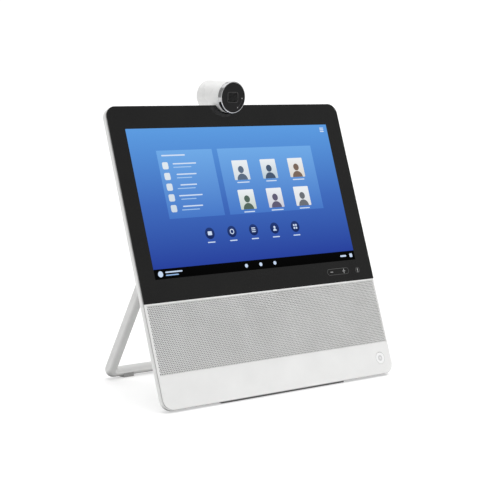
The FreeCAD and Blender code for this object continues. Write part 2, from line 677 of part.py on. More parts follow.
# Slab: tray, chassis plate and their screws
def make_rear_shell():
    outer = new_body("rear_shell_outer", PANEL)
    outline = new_sketch(outer, "outline", "XZ_Plane", -S.frame_depth)
    draw_rounded(outline, -half_width, half_width, 0, S.panel_height, S.corner_radius)
    slab = add_pad(outer, outline, S.shell_depth - S.frame_depth)
    rounded = add_fillet(outer, slab, S.shell_round, at_depth(S.shell_depth))
    add_fillet(outer, rounded, S.shell_groove, at_depth(S.frame_depth), "Chamfer")

    inside = half_width - S.shell_wall
    hollow = plate("rear_shell_hollow", PANEL, -inside, inside, S.sill_height, S.panel_height - S.shell_wall,
                   S.frame_depth - OVERSHOOT, shell_back, S.corner_radius - S.shell_wall)
    chassis_back = S.glass_thick + S.module_thick + S.chassis_thick
    bosses = [rod("rear_shell_boss_%d" % number, PANEL, x, chassis_back, z, S.boss_radius,
                  S.shell_depth - chassis_back)
              for number, (x, z) in enumerate(CHASSIS_SCREWS)]
    lining = notch_rod("rear_shell_lining", S.notch_radius + S.shell_wall)
    space = cut("rear_shell_space", hollow, joined("rear_shell_solid", bosses + [lining]))

    thread = S.screw_radius + S.screw_clear
    holes = [rod("rear_shell_thread_%d" % number, PANEL, x, chassis_back - OVERSHOOT, z, thread,
                 S.thread_long + S.thread_spare + OVERSHOOT)
             for number, (x, z) in enumerate(CHASSIS_SCREWS)]
    holes += [rod("rear_shell_post_hole_%d" % number, PANEL, x, shell_back - OVERSHOOT, z, thread,
                  S.shell_wall + 2 * OVERSHOOT)
              for number, (x, z) in enumerate(cover_screw_places())]
    holes += [rod("rear_shell_mount_hole_%d" % number, PANEL, side * S.mount_screw_x, shell_back - OVERSHOOT,
                  S.mount_screw_z, thread, S.mount_thread + S.thread_spare / 2 + OVERSHOOT)
              for number, side in enumerate((-1, 1))]
    opening = block("rear_shell_opening", PANEL, -S.opening_half, S.opening_half, shell_back - OVERSHOOT,
                    S.shell_depth + OVERSHOOT, S.opening_bottom, S.opening_top)
    strip = block("rear_shell_strip_seat", PANEL, -S.strip_half, S.strip_half, S.strip_front,
                  S.strip_front + S.strip_width, -FAR, S.strip_sink)
    slot = block("rear_shell_neck_slot", PANEL, -S.neck_slot_half, S.neck_slot_half,
                 S.frame_depth - OVERSHOOT, shell_back + OVERSHOOT, S.neck_foot - S.shell_wall, S.panel_height)
    notch = notch_rod("rear_shell_notch", S.notch_radius)
    tools = joined("rear_shell_cuts", [space, opening, strip, slot, notch] + holes)
    keep(cut("rear_shell", outer, tools))


def make_chassis():
    front = S.glass_thick + S.module_thick
    body = new_body("chassis_plate", PANEL)
    outline = new_sketch(body, "outline", "XZ_Plane", -front)
    draw_rounded(outline, -S.chassis_half, S.chassis_half, S.chassis_bottom, S.chassis_top, S.small_corner)
    add_pad(body, outline, S.chassis_thick)
    holes = new_sketch(body, "holes", "XZ_Plane", -front)
    for x, z in CHASSIS_SCREWS:
        draw_circle(holes, x, z, S.screw_radius + S.hole_clear)
    draw_rounded(holes, -S.cable_half, S.cable_half, S.cable_bottom, S.cable_top, S.small_corner)
    add_pocket(body, holes, S.chassis_thick)
    keep(body)
    keep(screws("chassis_screws", PANEL, CHASSIS_SCREWS, front, S.chassis_thick + S.thread_long, 1))


def make_foot_strip():
    """The strip's underside lies on the table when the panel leans at its rest angle."""
    body = new_body("front_foot_strip", PANEL)
    outline = new_sketch(body, "profile", "YZ_Plane", -S.strip_half)
    slope = sin_of(S.panel_tilt) / cos_of(S.panel_tilt)
    front = S.strip_front
    back = S.strip_front + S.strip_width
    drop = S.base_gap / cos_of(S.panel_tilt)
    draw_polygon(outline, [(front, slope * front - drop), (back, slope * back - drop),
                           (back, S.strip_sink), (front, S.strip_sink)])
    add_pad(body, outline, S.strip_half * 2, False)
    keep(body)


# Back cover, boards and sockets
def cover_screw_places():
    return [(side * S.post_x, height) for side in (-1, 1) for height in (S.post_low, S.post_high)]


def board_screw_places():
    heights = (S.board_screw_low, S.board_screw_high)
    return [(side * S.board_screw_x, height) for side in (-1, 1) for height in heights]


def socket_blocks():
    """Each socket: name, middle, width, height off the board, length, and its opening's three sizes."""
    jack = (S.jack_width, S.jack_tall, S.jack_long, S.plug_width, S.plug_tall, S.plug_deep)
    return [("network_jack", S.network_x) + jack,
            ("computer_jack", S.computer_x) + jack,
            ("usb_socket", S.usb_x, S.usb_width, S.usb_tall, S.small_long, S.usb_hole_width,
             S.usb_hole_tall, S.small_deep),
            ("video_socket", S.video_x, S.video_width, S.video_tall, S.small_long, S.video_hole_width,
             S.video_hole_tall, S.small_deep),
            ("power_inlet", S.power_x, S.power_width, S.power_tall, S.small_long, S.power_hole_width,
             S.power_hole_tall, S.small_deep)]


def make_back_cover():
    outer = new_body("back_cover_outer", PANEL)
    outline = new_sketch(outer, "outline", "XZ_Plane", -S.shell_depth)
    draw_rounded(outline, -S.cover_half, S.cover_half, S.cover_bottom, S.cover_top, S.cover_corner)
    slab = add_pad(outer, outline, S.cover_depth - S.shell_depth)
    add_fillet(outer, slab, S.cover_round, at_depth(S.cover_depth))
    ears = [rod("back_cover_ear_%s" % word, PANEL, start, S.hinge_depth, S.hinge_height, S.hinge_boss,
                S.hinge_boss_out - S.hinge_boss_in, "x")
            for word, start in (("left", -S.hinge_boss_out), ("right", S.hinge_boss_in))]
    posts = [rod("back_cover_post_%d" % number, PANEL, x, S.shell_depth, z, S.post_radius,
                 S.cover_depth - S.shell_depth - OVERSHOOT)
             for number, (x, z) in enumerate(cover_screw_places())]
    board_back = S.board_front + S.board_thick
    bosses = [rod("back_cover_boss_%d" % number, PANEL, x, board_back, z, S.boss_radius,
                  S.cover_depth - board_back - OVERSHOOT)
              for number, (x, z) in enumerate(board_screw_places())]
    inside = S.cover_half - S.shell_wall
    hollow = plate("back_cover_hollow", PANEL, -inside, inside, S.cover_bottom + S.shell_wall,
                   S.cover_top - S.shell_wall, S.shell_depth - OVERSHOOT, cover_inside,
                   S.cover_corner - S.shell_wall)
    space = cut("back_cover_space", hollow, joined("back_cover_solid", ears + posts + bosses))

    cuts = [space]
    for number, (x, z) in enumerate(cover_screw_places()):
        cuts.append(rod("back_cover_well_%d" % number, PANEL, x, S.post_seat, z,
                        S.head_radius + S.well_clear, S.cover_depth))
        cuts.append(rod("back_cover_hole_%d" % number, PANEL, x, 0, z,
                        S.screw_radius + S.hole_clear, S.cover_depth))
    for number, (x, z) in enumerate(board_screw_places()):
        cuts.append(rod("back_cover_thread_%d" % number, PANEL, x, board_back - OVERSHOOT, z,
                        S.screw_radius + S.screw_clear, S.board_thread + S.thread_spare + OVERSHOOT))
    cuts.append(rod("back_cover_pin_hole", PANEL, -FAR / 2, S.hinge_depth, S.hinge_height,
                    S.hinge_pin + S.hinge_clear, FAR, "x"))
    for number in range(VENT_COUNT):
        middle = (number - (VENT_COUNT - 1) / 2) * S.vent_pitch
        cuts.append(block("back_cover_vent_%d" % number, PANEL, middle - S.vent_width / 2,
                          middle + S.vent_width / 2, cover_inside - OVERSHOOT, S.cover_depth + OVERSHOOT,
                          S.vent_bottom, S.vent_top))
    cuts.append(block("back_cover_bay", PANEL, S.bay_left, S.bay_right, S.bay_front, S.bay_back, 0,
                      S.cover_bottom + S.shell_wall + OVERSHOOT))
    keep(cut("back_cover", joined("back_cover_shape", [outer] + ears), joined("back_cover_cuts", cuts)))
    keep(screws("cover_screws", PANEL, cover_screw_places(), S.post_seat, S.post_seat - shell_back, -1))


def make_boards():
    body = new_body("main_board", PANEL)
    outline = new_sketch(body, "outline", "XZ_Plane", -S.board_front)
    draw_rounded(outline, -S.board_half, S.board_half, S.board_bottom, S.board_top, S.small_corner)
    add_pad(body, outline, S.board_thick)
    holes = new_sketch(body, "holes", "XZ_Plane", -S.board_front)
    for x, z in board_screw_places():
        draw_circle(holes, x, z, S.screw_radius + S.hole_clear)
    add_pocket(body, holes, S.board_thick)
    keep(body)
    keep(screws("board_screws", PANEL, board_screw_places(), S.board_front, S.board_thick + S.board_thread, 1))

    back = S.board_front + S.board_thick
    base = block("heat_sink_base", PANEL, -S.sink_half, S.sink_half, back, back + S.sink_base,
                 S.sink_bottom, S.sink_top)
    fin_pitch = (S.sink_half * 2 - S.fin_thick) / (FIN_COUNT - 1)
    fins = []
    for number in range(FIN_COUNT):
        left = fin_pitch * number - S.sink_half
        fins.append(block("heat_sink_fin_%d" % number, PANEL, left, left + S.fin_thick, back + S.sink_base / 2,
                          back + S.sink_base + S.fin_height, S.sink_bottom, S.sink_top))
    keep(joined("heat_sink", [base] + fins))

    half = S.button_board_half
    board_face = shell_back - S.board_thick
    keep(plate("button_board", PANEL, S.button_x - half, S.button_x + half, S.button_z - half,
               S.button_z + half, board_face, shell_back, S.small_corner))
    switch_front = S.frame_depth + S.button_slack + S.flange_thick + S.button_travel + S.switch_gap
    keep(rod("button_switch", PANEL, S.button_x, switch_front, S.button_z, S.switch_radius,
             board_face - switch_front))
    for word, left, right in (("left", -S.antenna_outer, -S.antenna_inner),
                              ("right", S.antenna_inner, S.antenna_outer)):
        keep(block(word + "_antenna", PANEL, left, right, shell_back - S.antenna_thick, shell_back,
                   S.antenna_bottom, S.antenna_top))


def make_sockets():
    """Sockets stand on the board's front face and open downwards through the bezel in the cover's wall."""
    bezel = new_body("socket_bezel", PANEL)
    outline = new_sketch(bezel, "outline", "XY_Plane", S.cover_bottom)
    draw_box(outline, S.bay_left, S.bay_right, S.bay_front, S.bay_back)
    add_pad(bezel, outline, S.shell_wall, False)
    windows = new_sketch(bezel, "windows", "XY_Plane", S.cover_bottom)
    for name, middle, width, tall, *opening in socket_blocks():
        half = width / 2 + S.socket_gap
        draw_box(windows, middle - half, middle + half, S.board_front - tall - S.socket_gap,
                 S.board_front + S.socket_gap)
    add_pocket(bezel, windows, S.shell_wall, True)
    keep(bezel)

    mouth = S.cover_bottom + S.socket_gap
    for name, middle, width, tall, long, hole_width, hole_tall, deep in socket_blocks():
        centre = S.board_front - tall / 2
        body = new_body(name, PANEL)
        outline = new_sketch(body, "outline", "XY_Plane", mouth)
        draw_box(outline, middle - width / 2, middle + width / 2, S.board_front - tall, S.board_front)
        add_pad(body, outline, long, False)
        cavity = new_sketch(body, "cavity", "XY_Plane", mouth)
        draw_box(cavity, middle - hole_width / 2, middle + hole_width / 2,
                 centre - hole_tall / 2, centre + hole_tall / 2)
        add_pocket(body, cavity, deep, True)
        keep(body)


# Stand and its hinges
def make_hinges():
    for side, word in ((-1, "left"), (1, "right")):
        bracket_out = S.hinge_boss_in
        bracket_in = bracket_out - S.bracket_thick
        low = S.hinge_height - S.bracket_half
        high = S.hinge_height + S.bracket_half
        inner, outer = sorted((side * bracket_in, side * bracket_out), key=lambda number: number.value)
        sheet_plate = block(word + "_hinge_bracket_sheet", PANEL, inner, outer,
                            S.hinge_depth - S.bracket_half, cover_inside, low, high)
        bore = rod(word + "_hinge_bracket_bore", PANEL, -FAR / 2, S.hinge_depth, S.hinge_height,
                   S.hinge_pin + S.hinge_clear, FAR, "x")
        keep(cut(word + "_hinge_bracket", sheet_plate, bore))

        tip = S.leg_mid + S.leg_width / 2 - S.pin_cover
        head_at = bracket_in - S.pin_head_long if side > 0 else -bracket_in
        pin_at = bracket_in if side > 0 else -tip
        head = rod(word + "_hinge_pin_head", PANEL, head_at, S.hinge_depth, S.hinge_height, S.pin_head,
                   S.pin_head_long, "x")
        shank = rod(word + "_hinge_pin_shank", PANEL, pin_at, S.hinge_depth, S.hinge_height, S.hinge_pin,
                    tip - bracket_in, "x")
        keep(joined(word + "_hinge_pin", [head, shank]))

        thick = S.leg_mid - S.leg_width / 2 - S.hinge_boss_out - S.washer_gap * 2
        face = S.hinge_boss_out + S.washer_gap
        washer_at = face if side > 0 else -(face + thick)
        disc = rod(word + "_friction_washer_disc", PANEL, washer_at, S.hinge_depth, S.hinge_height,
                   S.leg_thick / 2 - S.washer_inset, thick, "x")
        hole = rod(word + "_friction_washer_hole", PANEL, washer_at, S.hinge_depth, S.hinge_height,
                   S.hinge_pin + S.hinge_clear, thick, "x")
        keep(cut(word + "_friction_washer", disc, hole))


def make_stand():
    outer_half = S.leg_mid + S.leg_width / 2
    inner_half = S.leg_mid - S.leg_width / 2
    bottom = -leg_length - S.bar_width / 2
    body = new_body("stand_loop_bar", STAND)
    outline = new_sketch(body, "outline", "XZ_Plane", S.leg_thick / 2)
    draw_rounded(outline, -outer_half, outer_half, bottom, FAR / 2, S.loop_radius)
    add_pad(body, outline, S.leg_thick)
    inside = new_sketch(body, "inside", "XZ_Plane", S.leg_thick / 2)
    draw_rounded(inside, -inner_half, inner_half, bottom + S.bar_width, FAR, S.loop_inner)
    add_pocket(body, inside, S.leg_thick)
    top = new_sketch(body, "top", "XZ_Plane", S.leg_thick / 2)
    draw_box(top, -FAR, FAR, S.eye_reach, FAR * 2)
    open_loop = add_pocket(body, top, S.leg_thick)
    half_thick = S.leg_thick.value / 2
    add_fillet(body, open_loop, S.leg_round,
               lambda box: box.YLength < 1e-4 and abs(abs(box.YMin) - half_thick) < 1e-4)

    # The hinge bores stop short of the legs' outer faces, and the feet sit in flats of the foot bar
    cuts = []
    bar = STAND.multVec(FreeCAD.Vector(0, 0, -leg_length.value))
    bore_long = S.leg_width - S.pin_cover + OVERSHOOT + S.washer_gap
    for side, word in ((-1, "left"), (1, "right")):
        start = OVERSHOOT - inner_half - bore_long if side < 0 else inner_half - OVERSHOOT
        cuts.append(rod("stand_loop_bore_" + word, STAND, start, 0, 0, S.hinge_pin + S.hinge_clear,
                        bore_long, "x"))
        left, right = (-S.foot_outer, -S.foot_inner) if side < 0 else (S.foot_inner, S.foot_outer)
        foot_box = (left, right, bar.y - S.foot_width / 2, bar.y + S.foot_width / 2, 0, S.foot_top)
        cuts.append(block("stand_loop_seat_" + word, TABLE, *foot_box))
        keep(block(word + "_stand_foot", TABLE, *foot_box))
    keep(cut("stand_loop", body, joined("stand_loop_cuts", cuts)))


# Camera
def make_camera_barrel():
    """Barrel, with the hub in front that the ring turns on and the bosses that hold the axle."""
    web_back = S.window_front + S.window_thick + S.web_thick + S.ring_slip * 2
    shoulder = S.ring_length + S.ring_slip
    hub = S.ring_web - S.ring_slip
    pocket = hub - S.hub_wall
    spigot = S.ring_bore - S.ring_slip
    hub_front = S.window_front + S.window_thick
    bore = S.lens_nose + S.lens_clear
    inside = S.barrel_radius - S.barrel_wall
    wall_back = shoulder + S.front_wall
    body = new_body("camera_barrel_shell", CAMERA)
    profile = new_sketch(body, "profile", "XY_Plane")
    draw_polygon(profile, [(bore, web_back), (pocket, web_back), (pocket, hub_front), (hub, hub_front),
                           (hub, web_back), (spigot, web_back), (spigot, shoulder),
                           (S.barrel_radius, shoulder), (S.barrel_radius, S.cap_start),
                           (inside, S.cap_start), (inside, wall_back), (bore, wall_back)])
    add_turning(body, profile)

    boss_long = inside + S.barrel_wall / 2 - S.axle_boss_in
    bosses = []
    for side, word in ((-1, "left"), (1, "right")):
        start = -(S.axle_boss_in + boss_long) if side < 0 else S.axle_boss_in
        bosses.append(rod("camera_barrel_boss_" + word, CAMERA, start, S.axle_back, 0, S.axle_boss,
                          boss_long, "x"))
    axle_hole = rod("camera_barrel_axle_hole", CAMERA, -S.axle_half, S.axle_back, 0,
                    S.axle_radius + S.axle_grip, S.axle_half * 2, "x")
    slot = block("camera_barrel_slot", CAMERA, -S.neck_slot_half, S.neck_slot_half, S.neck_slot_front,
                 S.neck_slot_back, -S.barrel_radius * 2, -S.barrel_radius / 2)
    post = rod("camera_barrel_post", CAMERA, S.blade_pivot, hub_front + S.ring_slip, 0, S.pivot_radius,
               web_back - hub_front)
    keep(cut("camera_barrel", joined("camera_barrel_solid", [body, post] + bosses),
             joined("camera_barrel_cuts", [axle_hole, slot])))


def make_camera_cap():
    body = new_body("camera_back_cap", CAMERA)
    inside = S.barrel_radius - S.barrel_wall - S.cap_slip
    profile = new_sketch(body, "profile", "XY_Plane")
    hollow = inside - S.cap_plug_wall
    plug_end = S.cap_start - S.cap_plug
    draw_polygon(profile, [(0, S.cap_start), (hollow, S.cap_start), (hollow, plug_end), (inside, plug_end),
                           (inside, S.cap_start), (S.barrel_radius, S.cap_start),
                           (S.barrel_radius, S.barrel_length), (0, S.barrel_length)])
    cap = add_turning(body, profile)
    rim = S.barrel_radius.value
    add_fillet(body, cap, S.cap_round,
               lambda box: abs(box.YMin - S.barrel_length.value) < 1e-4 and box.XMax > rim - 0.1)
    keep(body)


def make_camera_inside():
    keep(rod("tilt_axle", CAMERA, -S.axle_half, S.axle_back, 0, S.axle_radius, S.axle_half * 2, "x"))
    keep(rod("lens_window", CAMERA, 0, S.window_front, 0, S.ring_bore - S.ring_slip, S.window_thick))
    web_back = S.window_front + S.window_thick + S.web_thick + S.ring_slip * 2
    wall_back = S.ring_length + S.ring_slip + S.front_wall
    nose = rod("lens_barrel_nose", CAMERA, 0, web_back, 0, S.lens_nose, wall_back - web_back)
    shell = rod("lens_barrel_shell", CAMERA, 0, wall_back, 0, S.lens_radius, S.lens_long)
    keep(joined("lens_barrel", [nose, shell]))
    back = wall_back + S.lens_long
    keep(block("sensor_board", CAMERA, -S.sensor_half, S.sensor_half, back, back + S.sensor_thick,
               -S.sensor_half, S.sensor_half))


def make_shutter():
    ring = new_body("shutter_ring", CAMERA)
    web_front = S.window_front + S.window_thick + S.ring_slip
    profile = new_sketch(ring, "profile", "XY_Plane")
    draw_polygon(profile, [(S.ring_bore, 0), (S.barrel_radius, 0), (S.barrel_radius, S.ring_length),
                           (S.ring_bore, S.ring_length), (S.ring_bore, web_front + S.web_thick),
                           (S.ring_web, web_front + S.web_thick), (S.ring_web, web_front),
                           (S.ring_bore, web_front)])
    turned_ring = add_turning(ring, profile)
    rim = S.barrel_radius.value
    add_fillet(ring, turned_ring, S.ring_round, lambda box: box.YLength < 1e-4 and box.XMax > rim - 0.1)
    keep(ring)

    # The blade lies open: its disc is swung away from the lens about its pivot post
    swing = S.blade_open
    disc_x = S.blade_pivot - S.blade_pivot * cos_of(swing)
    disc_z = S.blade_pivot * sin_of(swing)
    front = S.window_front + S.window_thick + S.ring_slip * 2
    disc = rod("shutter_blade_disc", CAMERA, disc_x, front, disc_z, S.blade_round, S.blade_thick)
    eye = rod("shutter_blade_eye", CAMERA, S.blade_pivot, front, 0, S.pivot_radius + S.blade_eye, S.blade_thick)
    arm = doc.addObject("Part::Box", "shutter_blade_arm")
    bind(arm, "Length", S.blade_pivot)
    bind(arm, "Width", S.blade_thick)
    bind(arm, "Height", S.blade_arm * 2)
    turn = FreeCAD.Placement(FreeCAD.Vector(S.blade_pivot.value, front.value, 0),
                             FreeCAD.Rotation(Y_AXIS, -180 + swing.value))
    shift = FreeCAD.Placement(FreeCAD.Vector(0, 0, -S.blade_arm.value), FreeCAD.Rotation())
    arm.Placement = CAMERA.multiply(turn).multiply(shift)
    hole = rod("shutter_blade_hole", CAMERA, S.blade_pivot, front - OVERSHOOT, 0,
               S.pivot_radius + S.hinge_clear, S.blade_thick + 2 * OVERSHOOT)
    keep(cut("shutter_blade", joined("shutter_blade_plate", [disc, eye, arm]), hole))


def make_camera_mount():
    """A plate on the tray's back with a neck that rises into the barrel and carries its axle."""
    axle = PANEL.inverse().multVec(CAMERA.multVec(FreeCAD.Vector(0, S.axle_back.value, 0)))
    eye = S.neck_eye
    body = new_body("camera_mount_neck", PANEL)
    profile = new_sketch(body, "profile", "YZ_Plane", -S.neck_half)
    draw_polygon(profile, [(S.neck_foot_front, S.neck_foot), (S.neck_foot_back, S.neck_foot),
                           (axle.y + eye, axle.z), (axle.y - eye, axle.z)])
    add_pad(body, profile, S.neck_half * 2, False)
    head = rod("camera_mount_eye", PANEL, -S.neck_half, axle.y, axle.z, eye, S.neck_half * 2, "x")
    sheet_plate = block("camera_mount_plate", PANEL, -S.mount_half, S.mount_half, shell_back - S.mount_thick,
                        shell_back, S.mount_bottom, S.neck_foot)
    bore = rod("camera_mount_bore", PANEL, -FAR / 2, axle.y, axle.z, S.axle_radius + S.hinge_clear, FAR, "x")
    holes = [rod("camera_mount_hole_%d" % number, PANEL, side * S.mount_screw_x, 0, S.mount_screw_z,
                 S.screw_radius + S.hole_clear, S.shell_depth)
             for number, side in enumerate((-1, 1))]
    keep(cut("camera_mount", joined("camera_mount_solid", [body, head, sheet_plate]),
             joined("camera_mount_cuts", [bore] + holes)))
    places = [(side * S.mount_screw_x, S.mount_screw_z) for side in (-1, 1)]
    made = [rod("mount_screws_%d" % number, PANEL, x, shell_back - S.mount_thick, z, S.screw_radius,
                S.mount_thick + S.mount_thread)
            for number, (x, z) in enumerate(places)]
    keep(group("mount_screws", made))


# Home button
def make_home_button():
    back = S.frame_depth + S.button_slack
    flange_back = back + S.flange_thick
    button = S.button_radius
    frame = PANEL.multiply(FreeCAD.Placement(FreeCAD.Vector(S.button_x.value, 0, S.button_z.value),
                                             FreeCAD.Rotation()))
    body = new_body("home_button", frame)
    profile = new_sketch(body, "profile", "XY_Plane")
    draw_polygon(profile, [(0, 0), (S.ring_inner, 0), (S.ring_inner, S.ring_deep), (button, S.ring_deep),
                           (button, back), (button + S.button_flange, back),
                           (button + S.button_flange, flange_back), (0, flange_back)])
    add_turning(body, profile)
    keep(body)
    ring = new_body("button_light_ring", frame)
    profile = new_sketch(ring, "profile", "XY_Plane")
    draw_polygon(profile, [(S.ring_inner, 0), (button, 0), (button, S.ring_deep),
                           (S.ring_inner, S.ring_deep)])
    add_turning(ring, profile)
    keep(ring)


make_front_frame()
make_glass()
make_display()
make_speaker_front()
make_speaker(-1, "left")
make_speaker(1, "right")
make_rear_shell()
make_chassis()
make_foot_strip()
make_back_cover()
make_boards()
make_sockets()
make_hinges()
make_stand()
make_camera_barrel()
make_camera_cap()
make_camera_inside()
make_shutter()
make_camera_mount()
make_home_button()
doc.recompute()

# Every object has to be sound before anything is written
for item in doc.Objects:
    if "Invalid" in item.State or "Error" in item.State:
        raise RuntimeError("%s failed: %s" % (item.Name, item.State))
for item in nodes:
    if item.Shape.isNull() or not item.Shape.isValid():
        raise RuntimeError("%s has no valid shape" % item.Label)

os.makedirs(PARTS_FOLDER, exist_ok=True)
for item in nodes:
    item.Shape.exportStep(os.path.join(PARTS_FOLDER, item.Label + ".step"))
whole = Part.makeCompound([item.Shape for item in nodes]).BoundBox
print("%d nodes, x %.2f to %.2f, y %.2f to %.2f, z %.2f to %.2f" % (
    len(nodes), whole.XMin, whole.XMax, whole.YMin, whole.YMax, whole.ZMin, whole.ZMax))
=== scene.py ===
"""Looks for the desk video phone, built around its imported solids."""

import json
import math

import bmesh
import bpy
from mathutils import Matrix, Vector


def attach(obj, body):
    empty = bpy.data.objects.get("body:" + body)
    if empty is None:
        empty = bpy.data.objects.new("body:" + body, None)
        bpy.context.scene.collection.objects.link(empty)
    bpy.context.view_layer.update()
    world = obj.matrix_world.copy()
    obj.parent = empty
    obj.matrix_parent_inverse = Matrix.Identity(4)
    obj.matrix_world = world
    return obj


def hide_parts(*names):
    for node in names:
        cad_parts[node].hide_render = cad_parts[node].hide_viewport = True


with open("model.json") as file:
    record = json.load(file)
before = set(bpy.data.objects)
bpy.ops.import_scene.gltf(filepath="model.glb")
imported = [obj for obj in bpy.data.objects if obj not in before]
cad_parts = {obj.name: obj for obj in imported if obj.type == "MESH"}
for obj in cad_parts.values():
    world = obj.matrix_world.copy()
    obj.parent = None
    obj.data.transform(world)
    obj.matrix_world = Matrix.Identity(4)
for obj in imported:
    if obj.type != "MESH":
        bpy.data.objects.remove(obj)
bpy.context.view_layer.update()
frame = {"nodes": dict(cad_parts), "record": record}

# Sizes are in millimetres, in the panel's own frame unless a comment says otherwise:
# x to the right, y into the panel from the glass's face, z up along the panel from its bottom edge.
# Angles are in degrees.
MM = 0.001
PANEL_TILT = 18.35
BASE_GAP = 3.0
FRONT_REACH = 104.56
CAMERA_BACK = 97.2
CAMERA_HEIGHT = 339.8
CAMERA_AIM = 2.3

# Meshes
SMOOTH_BELOW = 35.0
WELD_DIGITS = 4
CUT_SLACK = 1e-9
END_FLAT = 0.01

# Picture and printed layers
PICTURE_LEFT = -155.5
PICTURE_RIGHT = 153.2
PICTURE_BOTTOM = 144.5
PICTURE_TOP = 318.5
BAR_TOP = 156.0
BAR_MID = (PICTURE_BOTTOM + BAR_TOP) / 2
LAYER = 0.05

# Cards on the picture: left, right, low and high
LIST_CARD = (-119.0, -38.0, 212.0, 292.0)
GRID_CARD = (-30.0, 119.0, 212.0, 292.0)

# Rows of the list card; a bar is x, z, width and height
HEADING = (-96.0, 286.0, 34.0, 1.6)
LIST_ROWS = 5
LIST_TOP = 274.0
LIST_STEP = 12.6
LIST_DOT_X = -110.0
LIST_DOT_SIDE = 8.4
LIST_DOT_CORNER = 2.0
LIST_WORDS_X = -82.0
LIST_WORDS_RISE = 1.9
LIST_WORDS_WIDTHS = (34.0, 29.0, 24.0)
LIST_WORDS_HEIGHT = 1.5
LIST_FAINT_X = -86.0
LIST_FAINT_DROP = 2.2
LIST_FAINT_WIDTHS = (26.0, 22.0)
LIST_FAINT_HEIGHT = 1.1

# Tiles of the grid card
TILE_COLUMNS = 3
TILE_STEP_ACROSS = 44.0
TILE_STEP_DOWN = 36.0
TILE_TOP = 262.0
TILE_RISE = 3.0
TILE_SIDE = 24.0
TILE_CORNER = 1.0
TILE_SIGN_DROP = 9.0
TILE_SIGN_TALL = 19.0
TILE_WORDS_DROP = 12.0
TILE_WORDS_WIDTHS = (19.0, 16.5)
TILE_WORDS_HEIGHT = 1.3

# Head-and-shoulders sign, in shares of its height
SHOULDER_HALF = 0.42
SHOULDER_RISE = 0.4
SHOULDER_STEPS = 12
HEAD_RISE = 0.66
HEAD_RADIUS = 0.23
HEAD_POINTS = 24

# Round keys on the picture and the signs on them; a rectangle is width, height and corner
ROUND_KEYS = [-66.0, -33.0, 0.0, 33.0, 66.0]
ROUND_KEY_Z = 192.0
ROUND_KEY_RADIUS = 6.8
ROUND_CARD = (6.0, 4.6, 0.8)
ROUND_RING = (3.2, 2.1)
ROUND_BAR = (6.0, 1.1)
ROUND_BAR_STEP = 2.2
ROUND_BUST_DROP = 3.2
ROUND_BUST_TALL = 6.6
ROUND_SQUARE = (2.4, 2.4, 0.5)
ROUND_SQUARE_OUT = 1.7
ROUND_WORDS_Z = 181.4
ROUND_WORDS = (11.0, 1.3)

# Marks on the black bar and the menu sign; a disc is x, z and radius
BAR_WORDS = (-128.0, BAR_MID + 1.6, 24.0, 1.6)
BAR_FAINT = (-131.0, BAR_MID - 1.8, 18.0, 1.3)
BAR_DISCS = [(-147.0, BAR_MID, 3.4), (-22.0, BAR_MID, 2.2), (0.0, BAR_MID, 2.2), (22.0, BAR_MID, 2.2)]
BAR_RIGHT = (134.0, BAR_MID, 10.0, 2.2)
BAR_SQUARE = (147.0, BAR_MID, 4.6, 4.6, 1.0)
MENU_X = 144.0
MENU_Z = 309.6
MENU_STEP = 2.2
MENU_BAR = (6.4, 1.2)
MENU_BARS = 3

# Touch keys printed on the glass
PRINT_LINE = 0.5
VOLUME_X = 120.0
VOLUME_Z = 131.8
VOLUME_WIDTH = 36.0
VOLUME_HEIGHT = 7.8
VOLUME_CORNER = 3.8
LESS_X = 109.4
MORE_X = 129.6
STROKE_LENGTH = 4.6
STROKE_THICK = 1.0
MORE_ARM = (1.0, 2.2, 0.4)
MORE_ARM_OUT = 1.8
MUTE_X = 152.9
MUTE_Z = 131.1
MUTE_RADIUS = 3.6
MUTE_BODY = (1.5, 3.0, 0.7)
MUTE_BODY_RISE = 0.6
MUTE_FOOT = (2.4, 0.6, 0.25)
MUTE_FOOT_DROP = 1.8

# Grille
GRILLE_HALF = 174.5
GRILLE_BOTTOM = 39.0
GRILLE_TOP = 116.3
GRILLE_FRONT = 0.25
GRILLE_BACK = 1.1
HOLES_ACROSS = 150
HOLE_RADIUS = 0.84
BORDER_WIDTH = 4.0
BORDER_FRONT = 1.12
BORDER_BACK = 1.33

# Panel's outline and the seam round it
PANEL_HALF = 177.15
PANEL_HEIGHT = 345.3
PANEL_CORNER = 13.0
SEAM_FLOOR = 1.18
SEAM_FACE = 0.9
SEAM_FRONT = 1.05
SEAM_BACK = 3.15
SEAM_BREAK = 22.0

# Camera, in its own frame: y back along the barrel from the ring's front
WINDOW_RADIUS = 17.7
WINDOW_FRONT = 0.8
WINDOW_BACK = 2.3
PANE_WIDTH = 14.0
PANE_HEIGHT = 11.4
PANE_CORNER = 2.6
PANE_SLIP = 0.1
PANE_POINT_GAP = 0.7
LINE_WIDTH = 16.0
LINE_HEIGHT = 12.6
LINE_THICK = 0.5
LENS_RADIUS = 2.7
BAFFLE_RADIUS = 8.3
BAFFLE_FRONT = 3.15
BAFFLE_BACK = 3.45
MARK_RADIUS = 14.2
MARK_START = -5.0
MARK_END = -58.0
MARK_DOT = 0.75
MARK_ARC_GAP = 6.0
MARK_ARC_WIDTH = 0.3
# Dark trough under the barrel: painted shade in the camera's notch
SHADE_TROUGH_FRONT = 16.1
SHADE_TROUGH_BACK = 18.4
SHADE_TROUGH_INNERS = (20.1, 19.6)
SHADE_TROUGH_OUTER = 21.4
SHADE_TROUGH_TOPS = (10.2, 12.45)
SHADE_TROUGH_STEPS = 20

# Home button
BUTTON_X = 158.4
BUTTON_Z = 19.6
BUTTON_MARK_RADIUS = 1.3

# Inside the sockets; a block is left, right, front, back, low and high
JACK_MIDDLES = (-18.0, -42.0)
CONTACT_COUNT = 8
CONTACT_PITCH = 1.02
CONTACT_HALF = 0.22
CONTACT_SPAN = (27.2, 27.9, 26.0, 36.8)
TONGUES = [(0.6, 11.4, 28.0, 29.6, 25.4, 34.1), (26.0, 36.0, 27.1, 28.1, 25.2, 34.1)]
